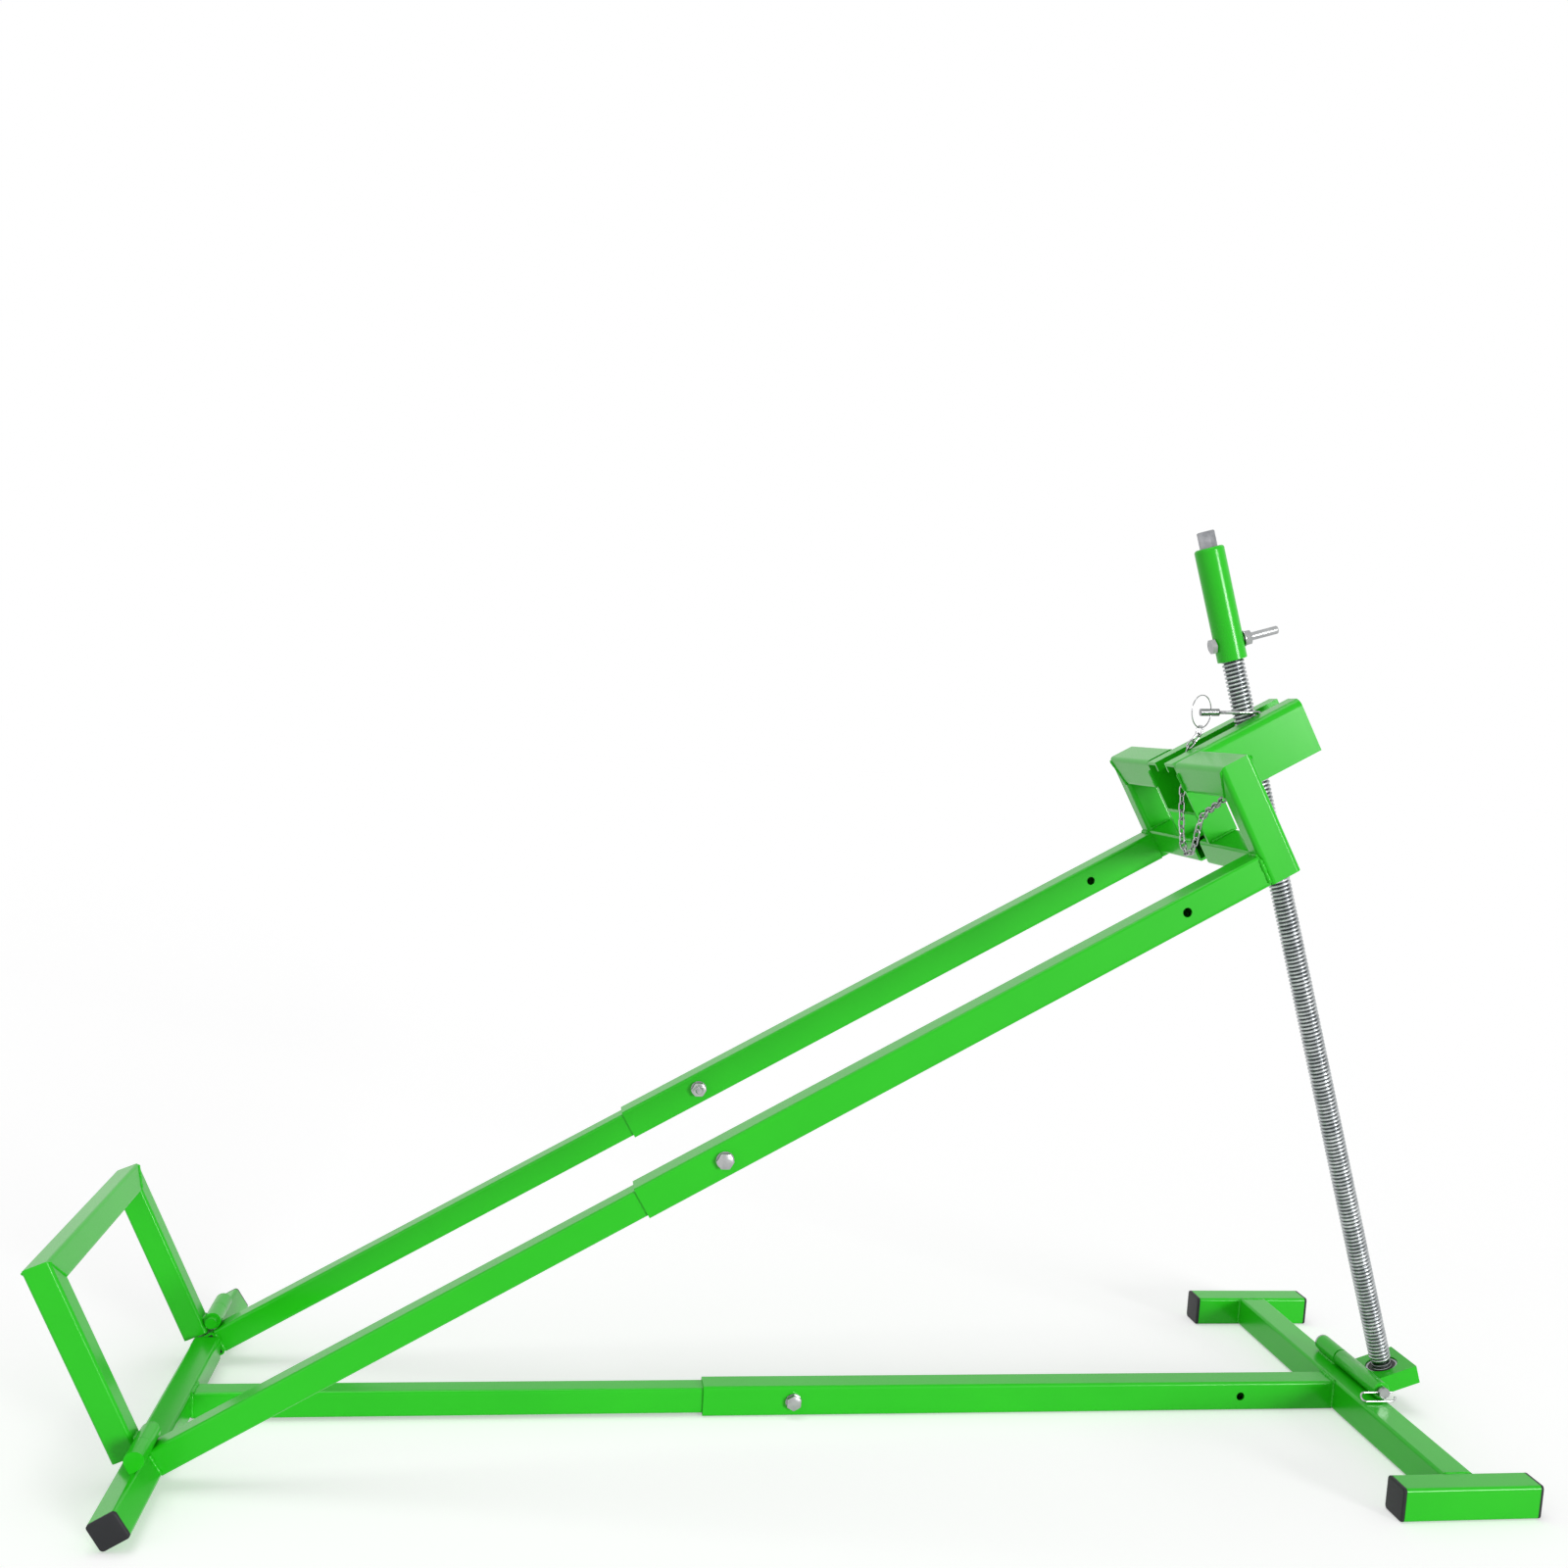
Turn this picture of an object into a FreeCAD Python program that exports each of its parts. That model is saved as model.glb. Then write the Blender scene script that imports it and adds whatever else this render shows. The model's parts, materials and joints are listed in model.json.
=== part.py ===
import FreeCAD, Part
import math
import os
import re
from types import SimpleNamespace

from FreeCAD import Placement, Rotation, Vector

# Lawn mower lift.
# The frame stands on the ground at z = 0, +X runs from the arm's pivot to the spindle, and +Y is the left side.
# The origin is under the middle of the front cross tube.
# Lengths are in millimetres and angles in degrees.

SIZES = {
    # Square tubes, by their outer side and wall
    "base_side": 40,
    "base_wall": 3,
    "outer_side": 38,
    "outer_wall": 2.5,
    "slide_clearance": 0.5,
    "inner_wall": 3,
    "rear_side": 32,
    "rear_wall": 2.5,
    "tube_corner": 4,
    "overrun": 5,
    # Base
    "base_reach": 1463,
    "base_width": 674,
    "foot_length": 175,
    "outer_beam_length": 832,
    "tube_overlap": 250,
    "beam_bolt_inset": 112,
    "beam_free_inset": 130,
    "rear_width": 316,
    # Plastic end caps
    "cap_thickness": 4,
    "cap_depth": 12,
    "cap_wall": 2,
    "cap_clearance": 0.2,
    # Pivot of the arm
    "pivot_radius": 8,
    "pivot_insert": 60,
    "bush_length": 40,
    "running_clearance": 0.05,
    "stub_gap": 2,
    "stub_length": 166,
    # Arm rails
    "rest_tilt": 30.2,
    "rail_offset": 179,
    "outer_rail_start": 594,
    "portal_setback": 74,
    "rail_bolt_inset": 102,
    "rail_free_inset": 103,
    # Bolts across the tubes
    "bolt_radius": 5,
    "hole_radius": 5.5,
    "bolt_flats": 17,
    "bolt_head_height": 6.4,
    "nut_height": 8,
    "washer_radius": 10,
    "washer_thickness": 2,
    "bolt_tail": 6,
    # Portal at the arm's end
    "upright_depth": 40,
    "upright_width": 30,
    "upright_wall": 3,
    "upright_corner": 6,
    "portal_top": 130,
    "top_cross_height": 40,
    "lower_cross_height": 32,
    "lower_cross_top": 22,
    "cross_gap": 30,
    # Slotted channel over the portal
    "channel_length": 178,
    "channel_width": 100,
    "channel_height": 70,
    "channel_wall": 4,
    "channel_corner": 10,
    "slot_width": 32,
    "lip_drop": 12,
    "floor_slot_inset": 66,
    "floor_slot_length": 96,
    "side_plate_thickness": 5,
    # Foot hinge of the spindle
    "barrel_radius": 11,
    "barrel_lift": 0.5,
    "pin_radius": 7,
    "hinge_shift": 12.5,
    "fixed_barrel_length": 53,
    "moving_barrel_length": 116,
    "barrel_split": 32,
    "barrel_play": 0.6,
    "foot_pin_head_radius": 10.5,
    "foot_pin_head_height": 4,
    "foot_pin_tail": 9,
    "clip_wire_radius": 1.25,
    "clip_leg": 26,
    "clip_drop": 12,
    "clip_inset": 5,
    # Bearing block
    "foot_offset": 41,
    "foot_drop": 9.9,
    "block_front": 33,
    "block_back": 33,
    "block_width": 70,
    "block_thickness": 24,
    "neck_rise": 2,
    "neck_depth": 1,
    "block_bore": 16,
    # Ball bearing
    "bearing_radius": 21,
    "bearing_bore": 10,
    "bearing_width": 12,
    "bearing_inset": 1.5,
    "race_outer": 17.6,
    "race_inner": 13.2,
    "groove_radius": 3.4,
    "ball_radius": 3.3,
    "ball_count": 9,
    "seal_thickness": 0.8,
    "seal_clearance": 0.15,
    # Threaded spindle
    "spindle_radius": 14,
    "collar_radius": 12.5,
    "collar_height": 3,
    "journal_tail": 8,
    "ring_groove_depth": 0.8,
    "ring_width": 1.6,
    "ring_radius": 13,
    "ring_gap": 5,
    # Drive sleeve on top of the spindle
    "sleeve_above_nut": 113,
    "sleeve_hold": 81,
    "sleeve_length": 140,
    "sleeve_radius": 18.5,
    "sleeve_clearance": 0.4,
    "sleeve_bolt_level": 22,
    "sleeve_bolt_length": 84,
    "hexagon_flats": 19,
    "hexagon_insert": 45,
    "hexagon_rise": 20,
    # Lift nut in the channel
    "nut_inset": 115,
    "nut_drop": 38,
    "nut_width": 64,
    "nut_side": 40,
    "nut_thickness": 30,
    "nut_corner": 5,
    "thread_clearance": 0.08,
    # Wheel stop
    "stop_side": 30,
    "stop_wall": 2.5,
    "stop_outer_width": 388,
    "stop_height": 230,
    "stop_lean": 7,
    "stop_axis_along": 20,
    "stop_barrel_radius": 10.5,
    "stop_barrel_length": 38,
    "stop_barrel_inset": 4,
    "arm_barrel_length": 36,
    "stop_pin_inner": 158,
    "stop_clearance": 0.4,
    # Safety pin, split ring and chain
    "safety_pin_radius": 4.5,
    "safety_pin_length": 24,
    "bail_wire_radius": 2,
    "bail_length": 56,
    "bail_width": 42,
    "bail_setback": 6.5,
    "bail_slope": 3.5,
    "bail_gap": 0.55,
    "ring_wire_radius": 1,
    "split_ring_radius": 20,
    "ring_hole_inset": 14,
    "ring_hole_radius": 1.8,
    "ring_turn": 33,
    "link_wire_radius": 1.1,
    "link_length": 15,
    "link_width": 9.6,
    "link_play": 0.3,
    "link_roll": 135,
    "chain_clearance": 1.5,
    "chain_turn_reach": 40,
    "chain_turn_across": 16,
    "chain_turn_rise": 4,
    "chain_fall_run": 12,
    "chain_fall_across": 7,
    "chain_fall_drop": 16,
    "chain_eye_gap": 1.2,
    "chain_eye_offset": 29,
    "chain_sag": 90,
}


# Frames and derived lengths

given = SimpleNamespace(**SIZES)
AXES = {"x": Vector(1, 0, 0), "y": Vector(0, 1, 0), "z": Vector(0, 0, 1)}
TURNS = {"x": Rotation(AXES["y"], 90), "y": Rotation(AXES["x"], -90), "z": Rotation()}
SIDES = {"right": -1, "left": 1}

given.inner_side = given.outer_side - 2 * given.outer_wall - 2 * given.slide_clearance
given.portal_reach = given.base_reach - given.portal_setback
given.floor_slot_start = given.portal_reach + given.floor_slot_inset

base = Placement()
tilt = math.radians(given.rest_tilt)
pivot_height = given.rear_side / 2 * (math.cos(tilt) + math.sin(tilt))
pivot = Vector(-given.base_reach, 0, pivot_height)
arm = Placement(pivot, Rotation(AXES["y"], -given.rest_tilt))

given.hinge_height = given.base_side + given.barrel_radius + given.barrel_lift
hinge = Vector(given.hinge_shift, 0, given.hinge_height)
nut_middle = Vector(given.portal_reach + given.nut_inset, 0, given.portal_top - given.nut_drop)
nut_run = arm.multVec(nut_middle) - hinge
lean = math.degrees(math.atan2(-nut_run.x, nut_run.z) + math.asin(given.foot_offset / nut_run.Length))
foot_axis = Placement(hinge, Rotation(AXES["y"], -lean))
foot = foot_axis.multiply(Placement(Vector(given.foot_offset, 0, -given.foot_drop), Rotation()))
nut_height_on_spindle = math.sqrt(nut_run.Length**2 - given.foot_offset**2) + given.foot_drop
given.sleeve_start = nut_height_on_spindle + given.sleeve_above_nut
given.spindle_rise = given.sleeve_start + given.sleeve_hold

given.stop_axis_level = given.inner_side / 2 + given.stop_barrel_radius + given.stop_clearance
stop_middle = Vector(given.stop_axis_along, 0, given.stop_axis_level)
stop_axis = Placement(stop_middle, Rotation(AXES["y"], given.stop_lean))
stop = arm.multiply(stop_axis)

SHEET_NAMES = {name: f"Sizes.{name}" for name in vars(given)}
document = FreeCAD.newDocument("lawn_mower_lift")
sheet = document.addObject("Spreadsheet::Sheet", "Sizes")
for row, (name, number) in enumerate(vars(given).items(), start=1):
    sheet.set(f"A{row}", name)
    sheet.set(f"B{row}", str(number))
    sheet.setAlias(f"B{row}", name)
document.recompute()

pieces = {}


def bind(item, prop, formula):
    """Binds a property to a formula of the sheet's names."""
    named = re.sub(r"[a-z_]+", lambda word: SHEET_NAMES.get(word.group(), word.group()), formula)
    item.setExpression(prop, named)


def sided(side, near, far):
    """The lower limit of a stretch near..far of the left side, or of its mirror image on the right side."""
    return near if side > 0 else f"-({far})"


def new_body(label, frame=Placement(), shown=True):
    """An empty body in a frame; a shown body is a sub-part by itself."""
    body = document.addObject("PartDesign::Body", label)
    body.Label = label
    body.Placement = frame
    if shown:
        pieces[label] = body
    return body


def feature(body, kind, sizes, place, turn=Rotation(), cut=False):
    """Adds or cuts a primitive, with its sizes and its base point bound to the sheet."""
    item = body.newObject(f"PartDesign::{'Subtractive' if cut else 'Additive'}{kind}", kind.lower())
    item.Placement = Placement(Vector(), turn)
    for prop, formula in sizes.items():
        bind(item, prop, formula)
    for axis, formula in zip("xyz", place):
        bind(item, f"Placement.Base.{axis}", formula)
    body.Tip = item
    return item


def box(body, place, sizes, cut=False, turn=Rotation()):
    return feature(body, "Box", dict(zip(("Length", "Width", "Height"), sizes)), place, turn, cut)


def cylinder(body, place, radius, length, axis="z", cut=False):
    return feature(body, "Cylinder", {"Radius": radius, "Height": length}, place, TURNS[axis], cut)


def hexagon(body, place, flats, length, axis="z"):
    """A hexagonal prism with the given distance across its flats."""
    item = feature(body, "Prism", {"Height": length}, place, TURNS[axis])
    item.Polygon = 6
    bind(item, "Circumradius", f"({flats}) / 2 / cos(30 deg)")
    return item


def round_edges(body, axis, radius, keep=lambda edge: True):
    """Rounds the edges of the body that run along an axis."""
    document.recompute()
    base = body.Tip
    names = [
        f"Edge{number}"
        for number, edge in enumerate(base.Shape.Edges, start=1)
        if abs(edge.tangentAt(edge.FirstParameter).dot(AXES[axis])) > 0.999 and keep(edge)
    ]
    item = body.newObject("PartDesign::Fillet", "fillet")
    item.Base = (base, names)
    bind(item, "Radius", radius)
    body.Tip = item
    return item


def group(label, bodies):
    """Several separate solids of one kind as one sub-part."""
    item = document.addObject("Part::Compound", label)
    item.Label = label
    item.Links = bodies
    pieces[label] = item
    return item


def made(label, shape, frame=Placement()):
    """A sub-part of swept wire, which no primitive gives."""
    item = document.addObject("Part::Feature", label)
    item.Label = label
    item.Shape = shape
    item.Placement = frame
    pieces[label] = item
    return item


def tube(label, frame, axis, place, sizes, wall, corner="tube_corner", shown=True):
    """A rectangular tube along an axis, from its lowest corner and its three sizes."""
    body = new_body(label, frame, shown)
    box(body, place, sizes)
    round_edges(body, axis, corner)
    inner_place = []
    inner_sizes = []
    for letter, low, size in zip("xyz", place, sizes):
        open_end = letter == axis
        inner_place.append(f"{low} - overrun" if open_end else f"{low} + {wall}")
        inner_sizes.append(f"{size} + 2 * overrun" if open_end else f"{size} - 2 * {wall}")
    box(body, inner_place, inner_sizes, cut=True)
    return body


def cross_hole(body, along, height, middle="0", radius="hole_radius", span="base_side"):
    """A hole along Y through a tube whose middle is at the given y."""
    cylinder(body, (along, f"{middle} - {span}", height), radius, f"2 * {span}", "y", cut=True)




# Base

def base_tubes():
    """Front cross tube, two feet, the telescoping beam and the rear tube."""
    front = "-base_side / 2"
    tube(
        "front_cross_tube", base, "y",
        (front, "-base_width / 2 + base_side", "0"),
        ("base_side", "base_width - 2 * base_side", "base_side"), "base_wall",
    )
    for name, side in SIDES.items():
        edge = sided(side, "base_width / 2 - base_side", "base_width / 2")
        tube(
            f"foot_{name}", base, "x",
            ("-foot_length / 2 + cap_thickness", edge, "0"),
            ("foot_length - 2 * cap_thickness", "base_side", "base_side"), "base_wall",
        )
    beam_end = f"{front} - outer_beam_length"
    outer = tube(
        "base_beam_outer", base, "x",
        (beam_end, "-outer_side / 2", "0"),
        ("outer_beam_length", "outer_side", "outer_side"), "outer_wall",
    )
    rear_face = "-base_reach + rear_side / 2"
    inner_length = "base_reach - rear_side / 2 - base_side / 2 - outer_beam_length + tube_overlap"
    inner = tube(
        "base_beam_inner", base, "x",
        (rear_face, "-inner_side / 2", "outer_side / 2 - inner_side / 2"),
        (inner_length, "inner_side", "inner_side"), "inner_wall",
    )
    bolt_at = f"{beam_end} + beam_bolt_inset"
    for body in (outer, inner):
        cross_hole(body, bolt_at, "outer_side / 2")
    cross_hole(outer, f"{front} - beam_free_inset", "outer_side / 2")
    rear = tube(
        "rear_tube", Placement(pivot, Rotation()), "y",
        ("-rear_side / 2", "-rear_width / 2", "-rear_side / 2"),
        ("rear_side", "rear_width", "rear_side"), "rear_wall",
    )
    return outer, inner, rear


def caps_of_feet():
    """Plastic plugs in the four ends of the feet."""
    bodies = []
    for side in SIDES.values():
        for end in (-1, 1):
            body = new_body("foot_cap", shown=False)
            edge = sided(side, "base_width / 2 - base_side", "base_width / 2")
            if end > 0:
                face = "foot_length / 2 - cap_thickness"
                plug = f"{face} - cap_depth"
            else:
                face = "-foot_length / 2"
                plug = f"{face} + cap_thickness"
            box(body, (face, edge, "0"), ("cap_thickness", "base_side", "base_side"))
            round_edges(body, "x", "tube_corner")
            inset = "(base_wall + cap_clearance)"
            box(
                body, (plug, f"{edge} + {inset}", inset),
                ("cap_depth", f"base_side - 2 * {inset}", f"base_side - 2 * {inset}"),
            )
            inset = "(base_wall + cap_clearance + cap_wall)"
            open_from = f"{plug} - overrun" if end > 0 else plug
            box(
                body, (open_from, f"{edge} + {inset}", inset),
                ("cap_depth + overrun", f"base_side - 2 * {inset}", f"base_side - 2 * {inset}"), cut=True,
            )
            bodies.append(body)
    group("foot_caps", bodies)


def pivot_pieces():
    """The shaft through the rear tube, its bushes there, and the arm's bushes that turn on it."""
    frame = Placement(pivot, Rotation())
    shaft = new_body("pivot_shaft", frame)
    half = "(rear_width / 2 + pivot_insert)"
    cylinder(shaft, ("0", f"-{half}", "0"), "pivot_radius", f"2 * {half}", "y")
    bore = "(rear_side / 2 - rear_wall)"
    for label, place, start, clearance in (
        ("rear_bushes", frame, "rear_width / 2 - bush_length", "0"),
        ("stub_bushes", arm, "rear_width / 2 + stub_gap", "running_clearance"),
    ):
        bodies = []
        for side in SIDES.values():
            body = new_body("bush", place, shown=False)
            low = sided(side, start, f"{start} + bush_length")
            box(body, (f"-{bore}", low, f"-{bore}"), (f"2 * {bore}", "bush_length", f"2 * {bore}"))
            cylinder(
                body, ("0", f"{low} - overrun", "0"), f"pivot_radius + {clearance}",
                "bush_length + 2 * overrun", "y", cut=True,
            )
            bodies.append(body)
        group(label, bodies)


# Bolts across the tubes

def bolt(along, middle, height, side, frame, label=None):
    """A hexagon bolt along Y through an outer tube, with its head on the outer side of the given side."""
    bolt_body = new_body(label or "bolt", frame, shown=bool(label))
    grip = "(outer_side + 2 * washer_thickness)"
    head = sided(side, f"{middle} + {grip} / 2", f"-({middle} - {grip} / 2) + bolt_head_height")
    length = f"{grip} + nut_height + bolt_tail"
    shank = sided(side, f"{middle} + {grip} / 2 - ({length})", f"-({middle} - {grip} / 2)")
    hexagon(bolt_body, (along, head, height), "bolt_flats", "bolt_head_height", "y")
    cylinder(bolt_body, (along, shank, height), "bolt_radius", length, "y")
    nut_body = new_body("bolt_nut", frame, shown=False)
    nut = sided(side, f"{middle} - {grip} / 2 - nut_height", f"-({middle} + {grip} / 2)")
    hexagon(nut_body, (along, nut, height), "bolt_flats", "nut_height", "y")
    cylinder(
        nut_body, (along, f"{nut} - overrun", height), "bolt_radius", "nut_height + 2 * overrun", "y", cut=True,
    )
    washers = []
    for low in (f"{middle} + outer_side / 2", f"{middle} - {grip} / 2"):
        body = new_body("bolt_washer", frame, shown=False)
        cylinder(body, (along, low, height), "washer_radius", "washer_thickness", "y")
        cylinder(
            body, (along, f"{low} - overrun", height), "bolt_radius",
            "washer_thickness + 2 * overrun", "y", cut=True,
        )
        washers.append(body)
    return bolt_body, nut_body, washers


def bolts():
    """The bolt through the base beam and the two through the rails."""
    beam_at = "-base_side / 2 - outer_beam_length + beam_bolt_inset"
    beam = bolt(beam_at, "0", "outer_side / 2", -1, base, "beam_bolt")
    group("beam_nut", [beam[1]])
    group("beam_washers", beam[2])
    rail_at = "outer_rail_start + rail_bolt_inset"
    sets = [
        bolt(rail_at, f"({side} * rail_offset)", "0", side, arm) for side in SIDES.values()
    ]
    group("rail_bolts", [entry[0] for entry in sets])
    group("rail_nuts", [entry[1] for entry in sets])
    group("rail_washers", [washer for entry in sets for washer in entry[2]])


# Arm

def stubs():
    """The square stubs beside the rear tube, their end caps and the outer barrels of the wheel stop."""
    start = "(rear_width / 2 + stub_gap)"
    caps = []
    for name, side in SIDES.items():
        tube(
            f"stub_{name}", arm, "y",
            ("-rear_side / 2", sided(side, start, f"{start} + stub_length"), "-rear_side / 2"),
            ("rear_side", "stub_length", "rear_side"), "rear_wall",
        )
        end = f"({start} + stub_length)"
        cap = new_body("stub_cap", arm, shown=False)
        box(
            cap, ("-rear_side / 2", sided(side, end, f"{end} + cap_thickness"), "-rear_side / 2"),
            ("rear_side", "cap_thickness", "rear_side"),
        )
        round_edges(cap, "y", "tube_corner")
        plug = "(rear_side / 2 - rear_wall - cap_clearance)"
        box(
            cap, (f"-{plug}", sided(side, f"{end} - cap_depth", end), f"-{plug}"),
            (f"2 * {plug}", "cap_depth", f"2 * {plug}"),
        )
        caps.append(cap)
        arm_barrel(name, side)
    group("stub_caps", caps)


def arm_barrel(name, side):
    """The barrel that is welded to a stub's top and holds the wheel stop's pin."""
    body = new_body(f"arm_barrel_{name}", arm)
    near = stop_barrel_end()
    low = sided(side, f"{near} + barrel_play", f"{near} + barrel_play + arm_barrel_length")
    cylinder(body, ("stop_axis_along", low, "stop_axis_level"), "stop_barrel_radius", "arm_barrel_length", "y")
    box(
        body, ("stop_axis_along - stop_barrel_radius", low, "rear_side / 2"),
        ("stop_barrel_radius", "arm_barrel_length", "stop_axis_level - rear_side / 2"),
    )
    box(
        body, ("rear_side / 2", f"{low} - overrun", "0"),
        ("stop_barrel_radius", "arm_barrel_length + 2 * overrun", "rear_side / 2 + stop_clearance"), cut=True,
    )
    cylinder(
        body, ("stop_axis_along", f"{low} - overrun", "stop_axis_level"), "pin_radius",
        "arm_barrel_length + 2 * overrun", "y", cut=True,
    )


def stop_barrel_end():
    """The outer end of the wheel stop's own barrel, from the middle."""
    return "(stop_outer_width / 2 - stop_side + stop_barrel_inset + stop_barrel_length)"


def rails():
    """Two telescoping rails, each with its bolt hole and its free hole."""
    for name, side in SIDES.items():
        middle = f"({side} * rail_offset)"
        outer = tube(
            f"rail_outer_{name}", arm, "x",
            ("outer_rail_start", f"{middle} - outer_side / 2", "-outer_side / 2"),
            ("portal_reach - outer_rail_start", "outer_side", "outer_side"), "outer_wall",
        )
        inner = tube(
            f"rail_inner_{name}", arm, "x",
            ("rear_side / 2", f"{middle} - inner_side / 2", "-inner_side / 2"),
            ("outer_rail_start + tube_overlap - rear_side / 2", "inner_side", "inner_side"), "inner_wall",
        )
        at = "outer_rail_start + rail_bolt_inset"
        for body in (outer, inner):
            cross_hole(body, at, "0", middle)
        cross_hole(outer, "portal_reach - rail_free_inset", "0", middle)


def mitre(body, side, corner_low, corner_high, depth, keep_below):
    """Cuts a frame's piece along the line from its inner corner to its outer corner, in the YZ plane."""
    rise = corner_high[1] - corner_low[1]
    run = corner_high[0] - corner_low[0]
    angle = math.degrees(math.atan2(rise, side * run))
    span = math.hypot(rise, run)
    above = (side > 0) == keep_below
    start = Vector(depth[0] - given.overrun, side * corner_low[0], corner_low[1])
    turn = Rotation(AXES["x"], angle)
    shift = turn.multVec(Vector(0, -span, 0 if above else -2 * span))
    item = body.newObject("PartDesign::SubtractiveBox", "mitre")
    item.Length = depth[1] + 2 * given.overrun
    item.Width = 3 * span
    item.Height = 2 * span
    item.Placement = Placement(start + shift, turn)
    body.Tip = item


def portal():
    """The mitred frame at the arm's end, its lower cross pieces and the plates under the channel."""
    outer = "(rail_offset + outer_side / 2)"
    inner = f"({outer} - upright_width)"
    low = "(-outer_side / 2)"
    outer_y = given.rail_offset + given.outer_side / 2
    inner_corner = (outer_y - given.upright_width, given.portal_top - given.top_cross_height)
    outer_corner = (outer_y, given.portal_top)
    depth = (given.portal_reach, given.upright_depth)
    for name, side in SIDES.items():
        upright = tube(
            f"upright_{name}", arm, "z",
            ("portal_reach", sided(side, inner, outer), low),
            ("upright_depth", "upright_width", f"portal_top - {low}"), "upright_wall", "upright_corner",
        )
        mitre(upright, side, inner_corner, outer_corner, depth, keep_below=True)
        top = tube(
            f"top_cross_{name}", arm, "y",
            ("portal_reach", sided(side, "channel_width / 2", outer), "portal_top - top_cross_height"),
            ("upright_depth", f"{outer} - channel_width / 2", "top_cross_height"),
            "upright_wall", "upright_corner",
        )
        mitre(top, side, inner_corner, outer_corner, depth, keep_below=False)
        tube(
            f"lower_cross_{name}", arm, "y",
            ("portal_reach", sided(side, "cross_gap / 2", inner), "lower_cross_top - lower_cross_height"),
            ("upright_depth", f"{inner} - cross_gap / 2", "lower_cross_height"), "upright_wall",
        )
        plate = new_body(f"side_plate_{name}", arm)
        box(
            plate,
            (
                "portal_reach",
                sided(side, "channel_width / 2 - side_plate_thickness", "channel_width / 2"),
                "lower_cross_top",
            ),
            ("upright_depth", "side_plate_thickness", "portal_top - channel_height - lower_cross_top"),
        )


def channel():
    """The slotted channel that the nut slides in, with turned-down lips above and a closed slot below."""
    body = new_body("top_channel", arm)
    bottom = "portal_top - channel_height"
    box(
        body, ("portal_reach", "-channel_width / 2", bottom),
        ("channel_length", "channel_width", "channel_height"),
    )
    top = given.portal_top - given.channel_height / 2
    round_edges(body, "x", "channel_corner", keep=lambda edge: edge.CenterOfMass.z > top)
    ends = ("portal_reach - overrun", "channel_length + 2 * overrun")
    hollow = "(channel_width / 2 - channel_wall)"
    box(
        body, (ends[0], f"-{hollow}", f"{bottom} + channel_wall"),
        (ends[1], f"2 * {hollow}", "channel_height - 2 * channel_wall"), cut=True,
    )
    lip = "(slot_width / 2 + channel_wall)"
    for side in SIDES.values():
        box(
            body, ("portal_reach", sided(side, "slot_width / 2", lip), "portal_top - lip_drop"),
            ("channel_length", "channel_wall", "lip_drop"),
        )
    box(
        body, (ends[0], "-slot_width / 2", "portal_top - lip_drop - overrun"),
        (ends[1], "slot_width", "lip_drop + 2 * overrun"), cut=True,
    )
    box(
        body, ("floor_slot_start", "-slot_width / 2", f"{bottom} - overrun"),
        ("floor_slot_length", "slot_width", "channel_wall + 2 * overrun"), cut=True,
    )


# Foot hinge and bearing

def foot_hinge():
    """The barrel on the cross tube, the block's own barrel, the pin and its spring clip."""
    height = "hinge_height"
    fixed = new_body("foot_barrel_fixed", base)
    low = "(barrel_split + barrel_play)"
    cylinder(fixed, ("hinge_shift", low, height), "barrel_radius", "fixed_barrel_length", "y")
    box(
        fixed, ("hinge_shift - barrel_radius / 2", low, "base_side"),
        ("barrel_radius", "fixed_barrel_length", "barrel_radius"),
    )
    box(
        fixed, ("base_side / 2", f"{low} - overrun", "0"),
        ("barrel_radius", "fixed_barrel_length + 2 * overrun", "base_side + barrel_lift"), cut=True,
    )
    cylinder(
        fixed, ("hinge_shift", f"{low} - overrun", height), "pin_radius",
        "fixed_barrel_length + 2 * overrun", "y", cut=True,
    )
    moving = new_body("foot_barrel_moving", foot_axis)
    low_end = "barrel_split - moving_barrel_length"
    cylinder(moving, ("0", low_end, "0"), "barrel_radius", "moving_barrel_length", "y")
    cylinder(
        moving, ("0", f"{low_end} - overrun", "0"), "pin_radius + running_clearance",
        "moving_barrel_length + 2 * overrun", "y", cut=True,
    )
    pin = new_body("foot_pin", base)
    head = f"{low} + fixed_barrel_length"
    tail = "(barrel_split - moving_barrel_length - foot_pin_tail)"
    cylinder(pin, ("hinge_shift", tail, height), "pin_radius", f"{head} - {tail}", "y")
    cylinder(pin, ("hinge_shift", head, height), "foot_pin_head_radius", "foot_pin_head_height", "y")
    hole_at = "(barrel_split - moving_barrel_length - foot_pin_tail + clip_inset)"
    cylinder(
        pin, ("hinge_shift - 2 * pin_radius", hole_at, height), "clip_wire_radius + seal_clearance",
        "4 * pin_radius", "x", cut=True,
    )
    made("foot_clip", clip_shape(), Placement(hinge, Rotation()))


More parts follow.
